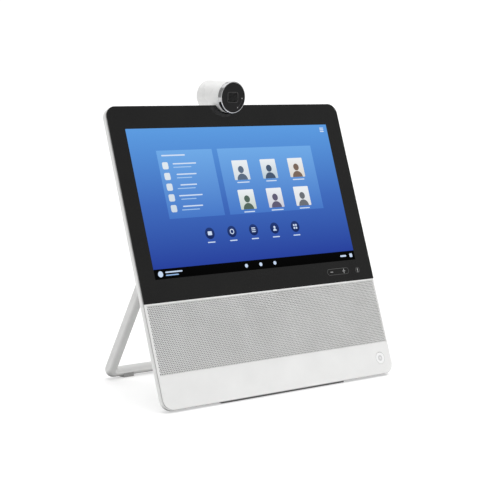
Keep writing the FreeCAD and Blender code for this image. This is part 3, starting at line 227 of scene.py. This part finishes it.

# Finishes, and painted shade on the sides that face down
MOTTLE_LOW = 0.3
MOTTLE_HIGH = 0.7
GRAIN_DEPTH = 0.1
# Painted shade: sides whose normal points further down than the first value darken, fully at the second
UNDER_START = -0.3
UNDER_FULL = -1.0
WAVES_PER_SCALE = 0.314
THREAD_RELIEF = 0.4
THREAD_DEPTH = 0.2
PANE_PATCH = 60
PANE_IOR = 1.25

# Floor, light and view: places in metres, lens and sensor in millimetres
FLOOR_REACH = 30.0
FLOOR_DROP = 0.0002
FLOOR_GLOW = 0.45
FLOOR_DARK = (0.6, 0.6, 0.6, 1)
FLOOR_LIGHT = (0.61, 0.61, 0.61, 1)
WALL = (0.645, 0.764, 0.0)
ROOM = [(0.0, (0.33, 0.33, 0.33, 1)), (0.8, (0.4, 0.4, 0.4, 1)), (0.95, (1, 1, 1, 1))]
ROOM_POWER = 1.1
VIEW_PLACE = (-1.14324, -1.37385, 0.352485)
VIEW_PITCH = 84.161
VIEW_TURN = -40.170
VIEW_LENS = 112.44
VIEW_SENSOR = 36.0


def turned(y, z, degrees):
    """The matrix of a frame at a point of the middle plane, turned about the X axis."""
    place = Matrix.Translation((0, y * MM, z * MM))
    return place @ Matrix.Rotation(math.radians(degrees), 4, "X") @ Matrix.Scale(MM, 4)


PANEL = turned(-FRONT_REACH, BASE_GAP, -PANEL_TILT)
CAMERA = turned(CAMERA_BACK - FRONT_REACH, CAMERA_HEIGHT, CAMERA_AIM)


# Colours and materials
def srgb(red, green, blue):
    """A display colour as the linear one that shaders take."""
    parts = [value / 255 for value in (red, green, blue)]
    linear = [part / 12.92 if part <= 0.04045 else ((part + 0.055) / 1.055) ** 2.4 for part in parts]
    return (*linear, 1.0)


def new_material(name):
    """A fresh material, its node tree and its shader."""
    made = bpy.data.materials.new(name)
    made.use_nodes = True
    return made, made.node_tree, made.node_tree.nodes["Principled BSDF"]


def noise_field(tree, scale, stretch=(1, 1, 1), detail=3.0):
    """Noise over the piece's own metres; scale is in cells per metre."""
    place = tree.nodes.new("ShaderNodeTexCoord")
    spread = tree.nodes.new("ShaderNodeMapping")
    spread.inputs["Scale"].default_value = stretch
    field = tree.nodes.new("ShaderNodeTexNoise")
    field.inputs["Scale"].default_value = scale
    field.inputs["Detail"].default_value = detail
    tree.links.new(place.outputs["Object"], spread.inputs["Vector"])
    tree.links.new(spread.outputs["Vector"], field.inputs["Vector"])
    return field.outputs["Fac"]


def colour_ramp(tree, source, stops):
    """Colours along a value: stops are (position, colour)."""
    ramp = tree.nodes.new("ShaderNodeValToRGB")
    elements = ramp.color_ramp.elements
    while len(elements) < len(stops):
        elements.new(1.0)
    for element, (position, colour) in zip(elements, stops):
        element.position = position
        element.color = colour
    tree.links.new(source, ramp.inputs["Fac"])
    return ramp.outputs["Color"]


def add_bump(tree, shader, source, strength, depth):
    """Relief from a field; depth is in millimetres."""
    bump = tree.nodes.new("ShaderNodeBump")
    bump.inputs["Strength"].default_value = strength
    bump.inputs["Distance"].default_value = depth * MM
    tree.links.new(source, bump.inputs["Height"])
    tree.links.new(bump.outputs["Normal"], shader.inputs["Normal"])


def add_gloss(tree, shader, source, low, high):
    """Roughness that wanders between two values."""
    spread = tree.nodes.new("ShaderNodeMapRange")
    spread.inputs["To Min"].default_value = low
    spread.inputs["To Max"].default_value = high
    tree.links.new(source, spread.inputs["Value"])
    tree.links.new(spread.outputs["Result"], shader.inputs["Roughness"])


def shade_under(tree, colour, amount):
    """Paints the sides that face down darker, as the photograph has them."""
    # Painted shade: the colour is dimmed by how far the normal points down, not by any lamp
    place = tree.nodes.new("ShaderNodeTexCoord")
    split = tree.nodes.new("ShaderNodeSeparateXYZ")
    fall = tree.nodes.new("ShaderNodeMapRange")
    fall.inputs["From Min"].default_value = UNDER_FULL
    fall.inputs["From Max"].default_value = UNDER_START
    fall.inputs["To Min"].default_value = 1.0 - amount
    fall.inputs["To Max"].default_value = 1.0
    dimmed = tree.nodes.new("ShaderNodeVectorMath")
    dimmed.operation = "SCALE"
    tree.links.new(place.outputs["Normal"], split.inputs["Vector"])
    tree.links.new(split.outputs["Z"], fall.inputs["Value"])
    tree.links.new(colour, dimmed.inputs[0])
    tree.links.new(fall.outputs["Result"], dimmed.inputs["Scale"])
    return dimmed.outputs["Vector"]


def surface(name, dark, light, rough, patch=30, grain=1500, relief=0.05, metallic=0.0, specular=0.5,
            stretch=(1, 1, 1), under=0.0):
    """A solid finish: a faint mottle, a wandering gloss and a fine grain, and painted shade on the sides
    that face down when under is set.
    """
    made, tree, shader = new_material(name)
    shader.inputs["Metallic"].default_value = metallic
    shader.inputs["Specular IOR Level"].default_value = specular
    patches = noise_field(tree, patch, stretch)
    colour = colour_ramp(tree, patches, [(MOTTLE_LOW, dark), (MOTTLE_HIGH, light)])
    if under:
        colour = shade_under(tree, colour, under)
    tree.links.new(colour, shader.inputs["Base Color"])
    add_gloss(tree, shader, patches, *rough)
    add_bump(tree, shader, noise_field(tree, grain, stretch), relief, GRAIN_DEPTH)
    return made


def woven(name, dark, light, pitch):
    """Plain cloth: two sets of threads, pitch in millimetres."""
    made, tree, shader = new_material(name)
    shader.inputs["Specular IOR Level"].default_value = 0.1
    shader.inputs["Roughness"].default_value = 0.95
    threads = []
    for direction in ("X", "Z"):
        place = tree.nodes.new("ShaderNodeTexCoord")
        wave = tree.nodes.new("ShaderNodeTexWave")
        wave.bands_direction = direction
        wave.inputs["Scale"].default_value = WAVES_PER_SCALE / (pitch * MM)
        tree.links.new(place.outputs["Object"], wave.inputs["Vector"])
        threads.append(wave.outputs["Fac"])
    crossing = tree.nodes.new("ShaderNodeMath")
    crossing.operation = "MULTIPLY"
    tree.links.new(threads[0], crossing.inputs[0])
    tree.links.new(threads[1], crossing.inputs[1])
    colour = colour_ramp(tree, crossing.outputs["Value"], [(0.0, dark), (1.0, light)])
    tree.links.new(colour, shader.inputs["Base Color"])
    add_bump(tree, shader, crossing.outputs["Value"], THREAD_RELIEF, THREAD_DEPTH)
    return made


def lit(name, stops, strength=1.0):
    """A glowing colour that runs up the piece through its stops: the screen's own picture, and a painted
    glow on printed marks.
    """
    made, tree, shader = new_material(name)
    shader.inputs["Base Color"].default_value = (0, 0, 0, 1)
    shader.inputs["Roughness"].default_value = 0.35
    shader.inputs["Specular IOR Level"].default_value = 0.02
    shader.inputs["Emission Strength"].default_value = strength
    place = tree.nodes.new("ShaderNodeTexCoord")
    split = tree.nodes.new("ShaderNodeSeparateXYZ")
    tree.links.new(place.outputs["Generated"], split.inputs["Vector"])
    colour = colour_ramp(tree, split.outputs["Z"], stops)
    tree.links.new(colour, shader.inputs["Emission Color"])
    return made


def smoked_glass(name, colour, rough):
    """Dark clear glass that reflects about as little as the print round it."""
    made, tree, shader = new_material(name)
    shader.inputs["Base Color"].default_value = colour
    shader.inputs["Transmission Weight"].default_value = 1.0
    shader.inputs["IOR"].default_value = PANE_IOR
    add_gloss(tree, shader, noise_field(tree, PANE_PATCH), *rough)
    return made


MATERIALS = {
    # Painted shade on the downward sides of the mouldings
    "pale_shell": surface("pale_moulding_and_painted_shade", srgb(226, 226, 225), srgb(231, 231, 230), (0.36, 0.44),
                          under=0.95),
    "camera_shell": surface("white_moulding", srgb(230, 230, 229), srgb(235, 235, 234), (0.24, 0.32)),
    "cover_glass": surface("black_glass", srgb(12, 12, 12), srgb(16, 16, 15), (0.03, 0.06), relief=0.0),
    "picture": surface("display_panel", srgb(20, 22, 26), srgb(28, 30, 34), (0.2, 0.3)),
    "board": surface("board_laminate", srgb(18, 74, 40), srgb(34, 104, 58), (0.35, 0.5), patch=160),
    "grille": surface("grille_paint", srgb(210, 210, 209), srgb(218, 218, 217), (0.4, 0.5), grain=2500),
    "cloth": woven("acoustic_cloth", srgb(8, 8, 8), srgb(34, 34, 34), 0.5),
    "dark_plastic": surface("black_moulding", srgb(20, 20, 20), srgb(30, 30, 30), (0.45, 0.6)),
    "dark_metal": surface("black_paint", srgb(28, 28, 28), srgb(40, 40, 40), (0.4, 0.55), relief=0.1),
    "magnet": surface("sintered_magnet", srgb(50, 50, 52), srgb(72, 72, 74), (0.5, 0.7), metallic=0.6),
    "steel": surface("plain_steel", srgb(168, 169, 172), srgb(196, 197, 199), (0.25, 0.4), patch=90,
                     metallic=1.0, stretch=(1, 12, 12)),
    "heat_sink": surface("extruded_aluminium", srgb(176, 177, 179), srgb(204, 205, 206), (0.3, 0.45),
                         metallic=1.0, stretch=(12, 12, 1)),
    "antenna": surface("sheet_brass", srgb(186, 150, 74), srgb(214, 178, 98), (0.25, 0.4), metallic=1.0),
    # Painted shade on the stand's downward sides, darkest on the bar's underside
    "stand": surface("stand_paint_and_painted_shade", srgb(213, 213, 212), srgb(220, 220, 219), (0.38, 0.46), grain=2200,
                     under=0.95),
    "rubber": surface("rubber", srgb(94, 94, 94), srgb(106, 106, 106), (0.7, 0.85), relief=0.25,
                      specular=0.25),
    # Painted shade on the downward sides of the feet
    "foot_rubber": surface("grey_rubber_and_painted_shade", srgb(146, 146, 145), srgb(156, 156, 155), (0.6, 0.75),
                           relief=0.2, specular=0.3, under=0.8),
    "lens_window": surface("window_glass", srgb(16, 16, 17), srgb(20, 20, 21), (0.03, 0.06), relief=0.0,
                           specular=0.15),
    "chrome": surface("dark_chrome", srgb(180, 180, 182), srgb(192, 192, 193), (0.1, 0.16), relief=0.0,
                      metallic=1.0),
    "button": surface("grey_button", srgb(204, 204, 204), srgb(210, 210, 210), (0.3, 0.4)),
    "light_ring": surface("light_ring", srgb(236, 236, 236), srgb(242, 242, 242), (0.25, 0.35)),
}

for part in frame["record"]["subparts"]:
    for slot in frame["nodes"][part["node"]].material_slots:
        slot.material = MATERIALS[part["material_slot"]]


# Flat shapes: each is a list of closed outlines, in x and z, run anticlockwise as seen from the front
def circle(x, z, radius, count=32):
    turns = [2 * math.pi * number / count for number in range(count)]
    return [(x + radius * math.cos(turn), z + radius * math.sin(turn)) for turn in turns]


def rounded(x, z, width, height, radius, count=6):
    """The outline of a rectangle with round corners."""
    points = []
    corners = [(1, -1, -90), (1, 1, 0), (-1, 1, 90), (-1, -1, 180)]
    for side, rise, start in corners:
        middle = (x + side * (width / 2 - radius), z + rise * (height / 2 - radius))
        for step in range(count + 1):
            turn = math.radians(start + 90 * step / count)
            points.append((middle[0] + radius * math.cos(turn), middle[1] + radius * math.sin(turn)))
    return points


def box_outline(left, right, low, high):
    return [(left, low), (right, low), (right, high), (left, high)]


def divided(outline, gap):
    """The same outline with more points along its long edges."""
    points = []
    for start, end in zip(outline, outline[1:] + outline[:1]):
        pieces = max(1, math.ceil(math.dist(start, end) / gap))
        for step in range(pieces):
            points.append(tuple(a + (b - a) * step / pieces for a, b in zip(start, end)))
    return points


def bar(x, z, width, height):
    """A short bar with round ends."""
    return [rounded(x, z, width, height, height / 2 - END_FLAT)]


def ring(outer, inner):
    """The band between two outlines with as many points."""
    count = len(outer)
    return [[outer[n], outer[(n + 1) % count], inner[(n + 1) % count], inner[n]] for n in range(count)]


def arc(start, end, radius, width, count=24):
    """A band of a circle between two angles."""
    quads = []
    inner = radius - width / 2
    outer = radius + width / 2
    for step in range(count):
        first, second = [math.radians(start + (end - start) * (step + part) / count) for part in (0, 1)]
        corners = ((inner, first), (outer, first), (outer, second), (inner, second))
        quads.append([(reach * math.cos(turn), reach * math.sin(turn)) for reach, turn in corners])
    return quads


def bust(x, z, tall):
    """A plain head-and-shoulders sign."""
    shoulders = []
    for step in range(SHOULDER_STEPS + 1):
        turn = math.pi * step / SHOULDER_STEPS
        across = tall * SHOULDER_HALF * math.cos(turn)
        shoulders.append((x + across, z + tall * SHOULDER_RISE * math.sin(turn)))
    return [circle(x, z + tall * HEAD_RISE, tall * HEAD_RADIUS, HEAD_POINTS), shoulders]


def slab(outlines, front, back):
    """Welds flat outlines into closed plates between two depths."""
    points = []
    known = {}
    loops = []
    for outline in outlines:
        loop = []
        for x, z in outline:
            key = (round(x, WELD_DIGITS), round(z, WELD_DIGITS))
            if key not in known:
                known[key] = len(points)
                points.append((x, z))
            loop.append(known[key])
        loops.append(loop)
    count = len(points)
    verts = [(x, front, z) for x, z in points] + [(x, back, z) for x, z in points]
    faces = loops + [[index + count for index in reversed(loop)] for loop in loops]
    edges = {(start, end) for loop in loops for start, end in zip(loop, loop[1:] + loop[:1])}
    for start, end in sorted(edges):
        if (end, start) not in edges:
            faces.append([end, start, start + count, end + count])
    return verts, faces


def block(left, right, front, back, low, high):
    """A closed box."""
    return slab([box_outline(left, right, low, high)], front, back)


def build(name, shells, place, material, body):
    """One piece made of closed shells, put in the row's frame and set on its body."""
    mesh = bpy.data.meshes.new(name)
    verts = []
    faces = []
    for shell_verts, shell_faces in shells:
        start = len(verts)
        verts += shell_verts
        faces += [[index + start for index in face] for face in shell_faces]
    mesh.from_pydata(verts, [], faces)
    mesh.transform(place)
    work = bmesh.new()
    work.from_mesh(mesh)
    bmesh.ops.recalc_face_normals(work, faces=work.faces)
    for edge in work.edges:
        edge.smooth = len(edge.link_faces) == 2 and edge.calc_face_angle() < math.radians(SMOOTH_BELOW)
    for face in work.faces:
        face.smooth = True
    work.to_mesh(mesh)
    work.free()
    mesh.materials.append(material)
    piece = bpy.data.objects.new(name, mesh)
    bpy.context.scene.collection.objects.link(piece)
    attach(piece, body)
    return piece


def layer(name, outlines, level, material, bottom=0):
    """A thin printed or lit layer on the glass; level counts layers out from the glass."""
    plates = [slab(outlines, -LAYER * level, -LAYER * bottom)]
    return build(name, plates, PANEL, material, "panel")


# Grille: a plate with staggered six-sided holes
def clip(points, axis, limit, sign):
    """Cuts an outline by a line across one axis."""
    kept = []
    for start, end in zip(points, points[1:] + points[:1]):
        first = (start[axis] - limit) * sign
        second = (end[axis] - limit) * sign
        if first <= CUT_SLACK:
            kept.append(start)
        if (first < -CUT_SLACK and second > CUT_SLACK) or (first > CUT_SLACK and second < -CUT_SLACK):
            share = first / (first - second)
            kept.append(tuple(a + (b - a) * share for a, b in zip(start, end)))
    return kept


def hexagon(x, z, radius):
    turns = [math.radians(30 + 60 * number) for number in range(6)]
    return [(x + radius * math.cos(turn), z + radius * math.sin(turn)) for turn in turns]


def perforated():
    """The plate's outlines: six-sided cells with a hole in each that is whole."""
    pitch = GRILLE_HALF * 2 / HOLES_ACROSS
    rise = pitch * math.sqrt(3) / 2
    rows = int((GRILLE_TOP - GRILLE_BOTTOM) / rise)
    first = (GRILLE_TOP + GRILLE_BOTTOM - (rows - 1) * rise) / 2
    outlines = []
    for row in range(-1, rows + 1):
        shift = 0.5 if row % 2 == 0 else 0.0
        for column in range(HOLES_ACROSS + 1):
            x = (column + shift) * pitch - GRILLE_HALF
            z = first + row * rise
            cell = hexagon(x, z, pitch / math.sqrt(3))
            cut = cell
            for axis, limit, sign in ((0, -GRILLE_HALF, -1), (0, GRILLE_HALF, 1),
                                      (1, GRILLE_BOTTOM, -1), (1, GRILLE_TOP, 1)):
                cut = clip(cut, axis, limit, sign)
            if len(cut) < 3:
                continue
            if cut == cell:
                outlines += ring(cell, hexagon(x, z, HOLE_RADIUS))
            else:
                outlines.append(cut)
    return outlines


grille = build("grille_mesh", [slab(perforated(), GRILLE_FRONT, GRILLE_BACK)], PANEL, MATERIALS["grille"],
               "panel")
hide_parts("speaker_grille")

# Cloth glued to the back of the grille along its border, over the frame's lip
border = ring(box_outline(-GRILLE_HALF, GRILLE_HALF, GRILLE_BOTTOM, GRILLE_TOP),
              box_outline(BORDER_WIDTH - GRILLE_HALF, GRILLE_HALF - BORDER_WIDTH,
                          GRILLE_BOTTOM + BORDER_WIDTH, GRILLE_TOP - BORDER_WIDTH))
build("cloth_border", [slab(border, BORDER_FRONT, BORDER_BACK)], PANEL, MATERIALS["cloth"], "panel")

# Picture on the screen
SKY = [(0.0, srgb(40, 65, 157)), (0.45, srgb(64, 107, 189)), (1.0, srgb(93, 156, 225))]
CARD = [(0.0, srgb(72, 120, 200)), (1.0, srgb(112, 170, 231))]
WORDS = [(0.0, srgb(200, 218, 242)), (1.0, srgb(212, 226, 246))]
FAINT = [(0.0, srgb(150, 186, 230)), (1.0, srgb(168, 202, 240))]
DISC = [(0.0, srgb(24, 40, 92)), (1.0, srgb(36, 58, 118))]
DOTS = [(0.0, srgb(206, 218, 230)), (1.0, srgb(226, 234, 240))]
BLACK = [(0.0, srgb(2, 2, 2)), (1.0, srgb(4, 4, 4))]
# Glow colours of printed marks: painted glow standing in for lit print
KEY_PRINT_GLOW = [(0.0, srgb(84, 84, 84)), (1.0, srgb(92, 92, 92))]
KEY_SIGN_GLOW = [(0.0, srgb(150, 150, 150)), (1.0, srgb(160, 160, 160))]
KEY_LINE_GLOW = [(0.0, srgb(72, 72, 72)), (1.0, srgb(80, 80, 80))]
TILE_HIGHLIGHT = srgb(236, 240, 244)
TILES = [srgb(212, 220, 226), srgb(186, 204, 214), srgb(222, 216, 206), srgb(198, 210, 200),
         srgb(206, 206, 216), srgb(224, 226, 228)]
BUSTS = [srgb(92, 108, 130), srgb(70, 88, 112), srgb(122, 104, 92), srgb(84, 104, 94),
         srgb(96, 92, 116), srgb(108, 112, 118)]

layer("picture_sky", [box_outline(PICTURE_LEFT, PICTURE_RIGHT, BAR_TOP, PICTURE_TOP)], 1, lit("sky", SKY))
layer("picture_bar", [box_outline(PICTURE_LEFT, PICTURE_RIGHT, PICTURE_BOTTOM, BAR_TOP)], 1,
      lit("black_bar", BLACK))
layer("picture_cards", [box_outline(*LIST_CARD), box_outline(*GRID_CARD)], 2, lit("card", CARD), 1)

# List card: a heading and rows of a dot with two bars
words = bar(*HEADING)
faint = []
dots = []
for number in range(LIST_ROWS):
    z = LIST_TOP - LIST_STEP * number
    dots.append(rounded(LIST_DOT_X, z, LIST_DOT_SIDE, LIST_DOT_SIDE, LIST_DOT_CORNER))
    words_width = LIST_WORDS_WIDTHS[number % len(LIST_WORDS_WIDTHS)]
    words += bar(LIST_WORDS_X, z + LIST_WORDS_RISE, words_width, LIST_WORDS_HEIGHT)
    faint_width = LIST_FAINT_WIDTHS[number % len(LIST_FAINT_WIDTHS)]
    faint += bar(LIST_FAINT_X, z - LIST_FAINT_DROP, faint_width, LIST_FAINT_HEIGHT)

# Grid card: plain tiles with a head-and-shoulders sign and bars
for number, (tile_colour, bust_colour) in enumerate(zip(TILES, BUSTS)):
    x = TILE_STEP_ACROSS * (number % TILE_COLUMNS)
    z = TILE_TOP - TILE_STEP_DOWN * (number // TILE_COLUMNS)
    tile = rounded(x, z + TILE_RISE, TILE_SIDE, TILE_SIDE, TILE_CORNER)
    layer("picture_tile_%d" % (number + 1), [tile], 3,
          lit("tile_%d" % (number + 1), [(0.0, tile_colour), (1.0, TILE_HIGHLIGHT)]), 2)
    layer("picture_sign_%d" % (number + 1), bust(x, z - TILE_SIGN_DROP, TILE_SIGN_TALL), 4,
          lit("sign_%d" % (number + 1), [(0.0, bust_colour), (1.0, bust_colour)]), 3)
    words_width = TILE_WORDS_WIDTHS[number % len(TILE_WORDS_WIDTHS)]
    words += bar(x, z - TILE_WORDS_DROP, words_width, TILE_WORDS_HEIGHT)

# Row of round keys with plain signs
discs = [circle(x, ROUND_KEY_Z, ROUND_KEY_RADIUS) for x in ROUND_KEYS]
layer("picture_discs", discs, 2, lit("disc", DISC), 1)
card_x, ring_x, bars_x, bust_x, squares_x = ROUND_KEYS
signs = [rounded(card_x, ROUND_KEY_Z, *ROUND_CARD)]
signs += ring(*[circle(ring_x, ROUND_KEY_Z, radius) for radius in ROUND_RING])
for step in (-1, 0, 1):
    signs += bar(bars_x, ROUND_KEY_Z + ROUND_BAR_STEP * step, *ROUND_BAR)
signs += bust(bust_x, ROUND_KEY_Z - ROUND_BUST_DROP, ROUND_BUST_TALL)
for rise in (-ROUND_SQUARE_OUT, ROUND_SQUARE_OUT):
    for out in (-ROUND_SQUARE_OUT, ROUND_SQUARE_OUT):
        signs.append(rounded(squares_x + out, ROUND_KEY_Z + rise, *ROUND_SQUARE))
for x in ROUND_KEYS:
    words += bar(x, ROUND_WORDS_Z, *ROUND_WORDS)

# Black bar and the menu sign in the top corner
words += bar(*BAR_WORDS)
faint += bar(*BAR_FAINT)
words += [circle(*disc) for disc in BAR_DISCS]
words += bar(*BAR_RIGHT)
words += [rounded(*BAR_SQUARE)]
for number in range(MENU_BARS):
    words += bar(MENU_X, MENU_Z + MENU_STEP * number, *MENU_BAR)
layer("picture_words", words, 4, lit("words", WORDS), 1)
layer("picture_faint", faint, 4, lit("faint", FAINT), 1)
layer("picture_dots", dots, 3, lit("dots", DOTS), 2)
layer("picture_signs", signs, 3, lit("signs", WORDS), 2)

# Touch keys printed on the glass, their print given a painted glow
print_lines = ring(rounded(VOLUME_X, VOLUME_Z, VOLUME_WIDTH, VOLUME_HEIGHT, VOLUME_CORNER),
                   rounded(VOLUME_X, VOLUME_Z, VOLUME_WIDTH - 2 * PRINT_LINE,
                           VOLUME_HEIGHT - 2 * PRINT_LINE, VOLUME_CORNER - PRINT_LINE))
print_lines += ring(circle(MUTE_X, MUTE_Z, MUTE_RADIUS), circle(MUTE_X, MUTE_Z, MUTE_RADIUS - PRINT_LINE))
layer("key_outlines", print_lines, 1, lit("key_print_painted_glow", KEY_PRINT_GLOW))
key_signs = []
for x in (LESS_X, MORE_X):
    key_signs += bar(x, VOLUME_Z, STROKE_LENGTH, STROKE_THICK)
for rise in (MORE_ARM_OUT, -MORE_ARM_OUT):
    key_signs.append(rounded(MORE_X, VOLUME_Z + rise, *MORE_ARM))
key_signs.append(rounded(MUTE_X, MUTE_Z + MUTE_BODY_RISE, *MUTE_BODY))
key_signs.append(rounded(MUTE_X, MUTE_Z - MUTE_FOOT_DROP, *MUTE_FOOT))
layer("key_signs", key_signs, 1, lit("key_sign", KEY_SIGN_GLOW))

# Camera window, its marks and the lens
PANE = divided(rounded(0, 0, PANE_WIDTH, PANE_HEIGHT, PANE_CORNER), PANE_POINT_GAP)
PANE_TURNS = [math.atan2(z, x) for x, z in PANE]
window_rim = [(WINDOW_RADIUS * math.cos(turn), WINDOW_RADIUS * math.sin(turn)) for turn in PANE_TURNS]
window = build("window_mask", [slab(ring(window_rim, PANE), WINDOW_FRONT, WINDOW_BACK)], CAMERA,
               MATERIALS["lens_window"], "camera")
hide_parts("lens_window")
pane = slab([rounded(0, 0, PANE_WIDTH - PANE_SLIP, PANE_HEIGHT - PANE_SLIP, PANE_CORNER)],
            WINDOW_FRONT + PANE_SLIP, WINDOW_BACK - PANE_SLIP)
build("window_pane", [pane], CAMERA, smoked_glass("smoked_pane", srgb(110, 111, 114), (0.0, 0.02)),
      "camera")
faint_print = ring(rounded(0, 0, LINE_WIDTH, LINE_HEIGHT, PANE_CORNER),
                   rounded(0, 0, LINE_WIDTH - 2 * LINE_THICK, LINE_HEIGHT - 2 * LINE_THICK,
                           PANE_CORNER - LINE_THICK))
faint_print += arc(MARK_END + MARK_ARC_GAP, MARK_START - MARK_ARC_GAP, MARK_RADIUS, MARK_ARC_WIDTH)
dots_print = []
for turn in (math.radians(MARK_START), math.radians(MARK_END)):
    dots_print.append(circle(MARK_RADIUS * math.cos(turn), MARK_RADIUS * math.sin(turn), MARK_DOT))
# The window's printed marks and frame line glow: painted glow standing in for lit print
build("window_marks", [slab(dots_print, WINDOW_FRONT - LAYER, WINDOW_FRONT)], CAMERA,
      lit("mark_print_painted_glow", KEY_SIGN_GLOW), "camera")
build("window_frame_line", [slab(faint_print, WINDOW_FRONT - LAYER, WINDOW_FRONT)], CAMERA,
      lit("frame_print_painted_glow", KEY_LINE_GLOW), "camera")
baffle = ring(circle(0, 0, BAFFLE_RADIUS), circle(0, 0, LENS_RADIUS))
build("lens_baffle", [slab(baffle, BAFFLE_FRONT, BAFFLE_BACK)], CAMERA, MATERIALS["dark_plastic"],
      "camera")


# Grey strip in the seam behind the front's edge: painted shade that darkens the shallow groove
def seam():
    """The strip's outlines, broken at the camera's notch."""
    outer, inner = [rounded(0, PANEL_HEIGHT / 2, 2 * (PANEL_HALF - inset), PANEL_HEIGHT - 2 * inset,
                            PANEL_CORNER - inset) for inset in (SEAM_FACE, SEAM_FLOOR)]
    quads = []
    for first, second, third, fourth in ring(outer, inner):
        if first[0] > SEAM_BREAK and second[0] < -SEAM_BREAK:
            quads.append([first, (SEAM_BREAK, first[1]), (SEAM_BREAK, fourth[1]), fourth])
            quads.append([(-SEAM_BREAK, second[1]), second, third, (-SEAM_BREAK, third[1])])
        else:
            quads.append([first, second, third, fourth])
    return quads


# Painted shade: the strip's grey stands in for the groove's shadow, darker still where it faces down
seam_shade_material = surface("seam_painted_shade", srgb(176, 176, 175), srgb(186, 186, 185), (0.6, 0.75), relief=0.2,
                     specular=0.3, under=0.7)
build("seam_strip", [slab(seam(), SEAM_FRONT, SEAM_BACK)], PANEL, seam_shade_material, "panel")


# Dark trough in the camera's notch: painted shade, a dark piece set where the gap under the barrel would
# show only shade
def shade_trough():
    """A trough under the barrel, its front along the glass and its ends level with the panel's top."""
    lean = math.tan(math.radians(PANEL_TILT + CAMERA_AIM))
    verts = []
    for share, (top, inner) in enumerate(zip(SHADE_TROUGH_TOPS, SHADE_TROUGH_INNERS)):
        for radius in (inner, SHADE_TROUGH_OUTER):
            reach = math.acos(top / radius)
            for step in range(SHADE_TROUGH_STEPS + 1):
                turn = reach * (2 * step / SHADE_TROUGH_STEPS - 1)
                z = -radius * math.cos(turn)
                front = SHADE_TROUGH_FRONT + lean * z
                verts.append((radius * math.sin(turn), front + share * (SHADE_TROUGH_BACK - front), z))
    row = SHADE_TROUGH_STEPS + 1
    around = (0, row, 3 * row, 2 * row)
    faces = [list(around), [start + SHADE_TROUGH_STEPS for start in reversed(around)]]
    for step in range(SHADE_TROUGH_STEPS):
        for first, second in zip(around, around[1:] + around[:1]):
            faces.append([first + step, first + step + 1, second + step + 1, second + step])
    return verts, faces


build("notch_shade_trough", [shade_trough()], CAMERA, MATERIALS["dark_plastic"], "panel")

# Mark in the middle of the home button
build("button_mark", [slab([circle(BUTTON_X, BUTTON_Z, BUTTON_MARK_RADIUS)], -LAYER, 0)], PANEL,
      MATERIALS["pale_shell"], "home_key")


# Contacts and tongues inside the sockets
def contacts():
    """The spring contacts of the two jacks."""
    gold = []
    for x in JACK_MIDDLES:
        for number in range(CONTACT_COUNT):
            middle = x + (number - (CONTACT_COUNT - 1) / 2) * CONTACT_PITCH
            gold.append(block(middle - CONTACT_HALF, middle + CONTACT_HALF, *CONTACT_SPAN))
    return gold


build("jack_contacts", contacts(), PANEL, MATERIALS["antenna"], "panel")
build("socket_tongues", [block(*tongue) for tongue in TONGUES], PANEL, MATERIALS["dark_plastic"], "panel")


# Floor, light and view
def make_floor():
    """A pale floor that gives off a little light, so that it stays white."""
    mesh = bpy.data.meshes.new("floor")
    corners = box_outline(-FLOOR_REACH, FLOOR_REACH, -FLOOR_REACH, FLOOR_REACH)
    mesh.from_pydata([(x, y, 0) for x, y in corners], [], [(0, 1, 2, 3)])
    paint = surface("floor_paint", FLOOR_DARK, FLOOR_LIGHT, (0.6, 0.7), patch=3, relief=0.0, specular=0.1)
    shader = paint.node_tree.nodes["Principled BSDF"]
    shader.inputs["Emission Color"].default_value = (1, 1, 1, 1)
    shader.inputs["Emission Strength"].default_value = FLOOR_GLOW
    mesh.materials.append(paint)
    floor = bpy.data.objects.new("floor", mesh)
    floor.location.z = -FLOOR_DROP
    bpy.context.scene.collection.objects.link(floor)


def make_world():
    """A white wall behind the part and a dimmer room round it."""
    world = bpy.data.worlds.new("studio")
    world.use_nodes = True
    tree = world.node_tree
    place = tree.nodes.new("ShaderNodeTexCoord")
    facing = tree.nodes.new("ShaderNodeVectorMath")
    facing.operation = "DOT_PRODUCT"
    facing.inputs[1].default_value = WALL
    tree.links.new(place.outputs["Generated"], facing.inputs[0])
    colour = colour_ramp(tree, facing.outputs["Value"], ROOM)
    sky = tree.nodes["Background"]
    tree.links.new(colour, sky.inputs["Color"])
    sky.inputs["Strength"].default_value = ROOM_POWER
    bpy.context.scene.world = world


def hang_lamp(name, lamp, origin):
    """Puts a lamp at its place, facing the part."""
    item = bpy.data.objects.new(name, lamp)
    item.location = origin
    item.rotation_euler = (-Vector(origin)).to_track_quat("-Z", "Y").to_euler()
    bpy.context.scene.collection.objects.link(item)


def make_sun(name, origin, power, spread):
    """A wide soft light from far off."""
    lamp = bpy.data.lights.new(name, "SUN")
    lamp.energy = power
    lamp.angle = math.radians(spread)
    hang_lamp(name, lamp, origin)


def make_panel_light(name, origin, power, side):
    """A square soft box close by."""
    lamp = bpy.data.lights.new(name, "AREA")
    lamp.energy = power
    lamp.size = side
    hang_lamp(name, lamp, origin)


def make_camera():
    """The photograph's view, as solved from it."""
    lens = bpy.data.cameras.new("photo_view")
    lens.sensor_width = VIEW_SENSOR
    lens.lens = VIEW_LENS
    view = bpy.data.objects.new("photo_view", lens)
    view.location = VIEW_PLACE
    view.rotation_euler = (math.radians(VIEW_PITCH), 0, math.radians(VIEW_TURN))
    bpy.context.scene.collection.objects.link(view)
    bpy.context.scene.camera = view


make_floor()
make_world()
make_sun("top_light", origin=(0.1, -0.3, 1.0), power=1.7, spread=70.0)
make_sun("back_light", origin=(0.1, 0.45, 1.0), power=0.7, spread=60.0)
make_sun("left_light", origin=(-1.0, -0.25, 0.35), power=0.35, spread=60.0)
make_panel_light("side_light", origin=(0.45, -0.75, 0.1), power=0.5, side=0.2)
make_camera()
bpy.context.scene.view_settings.view_transform = "Standard"
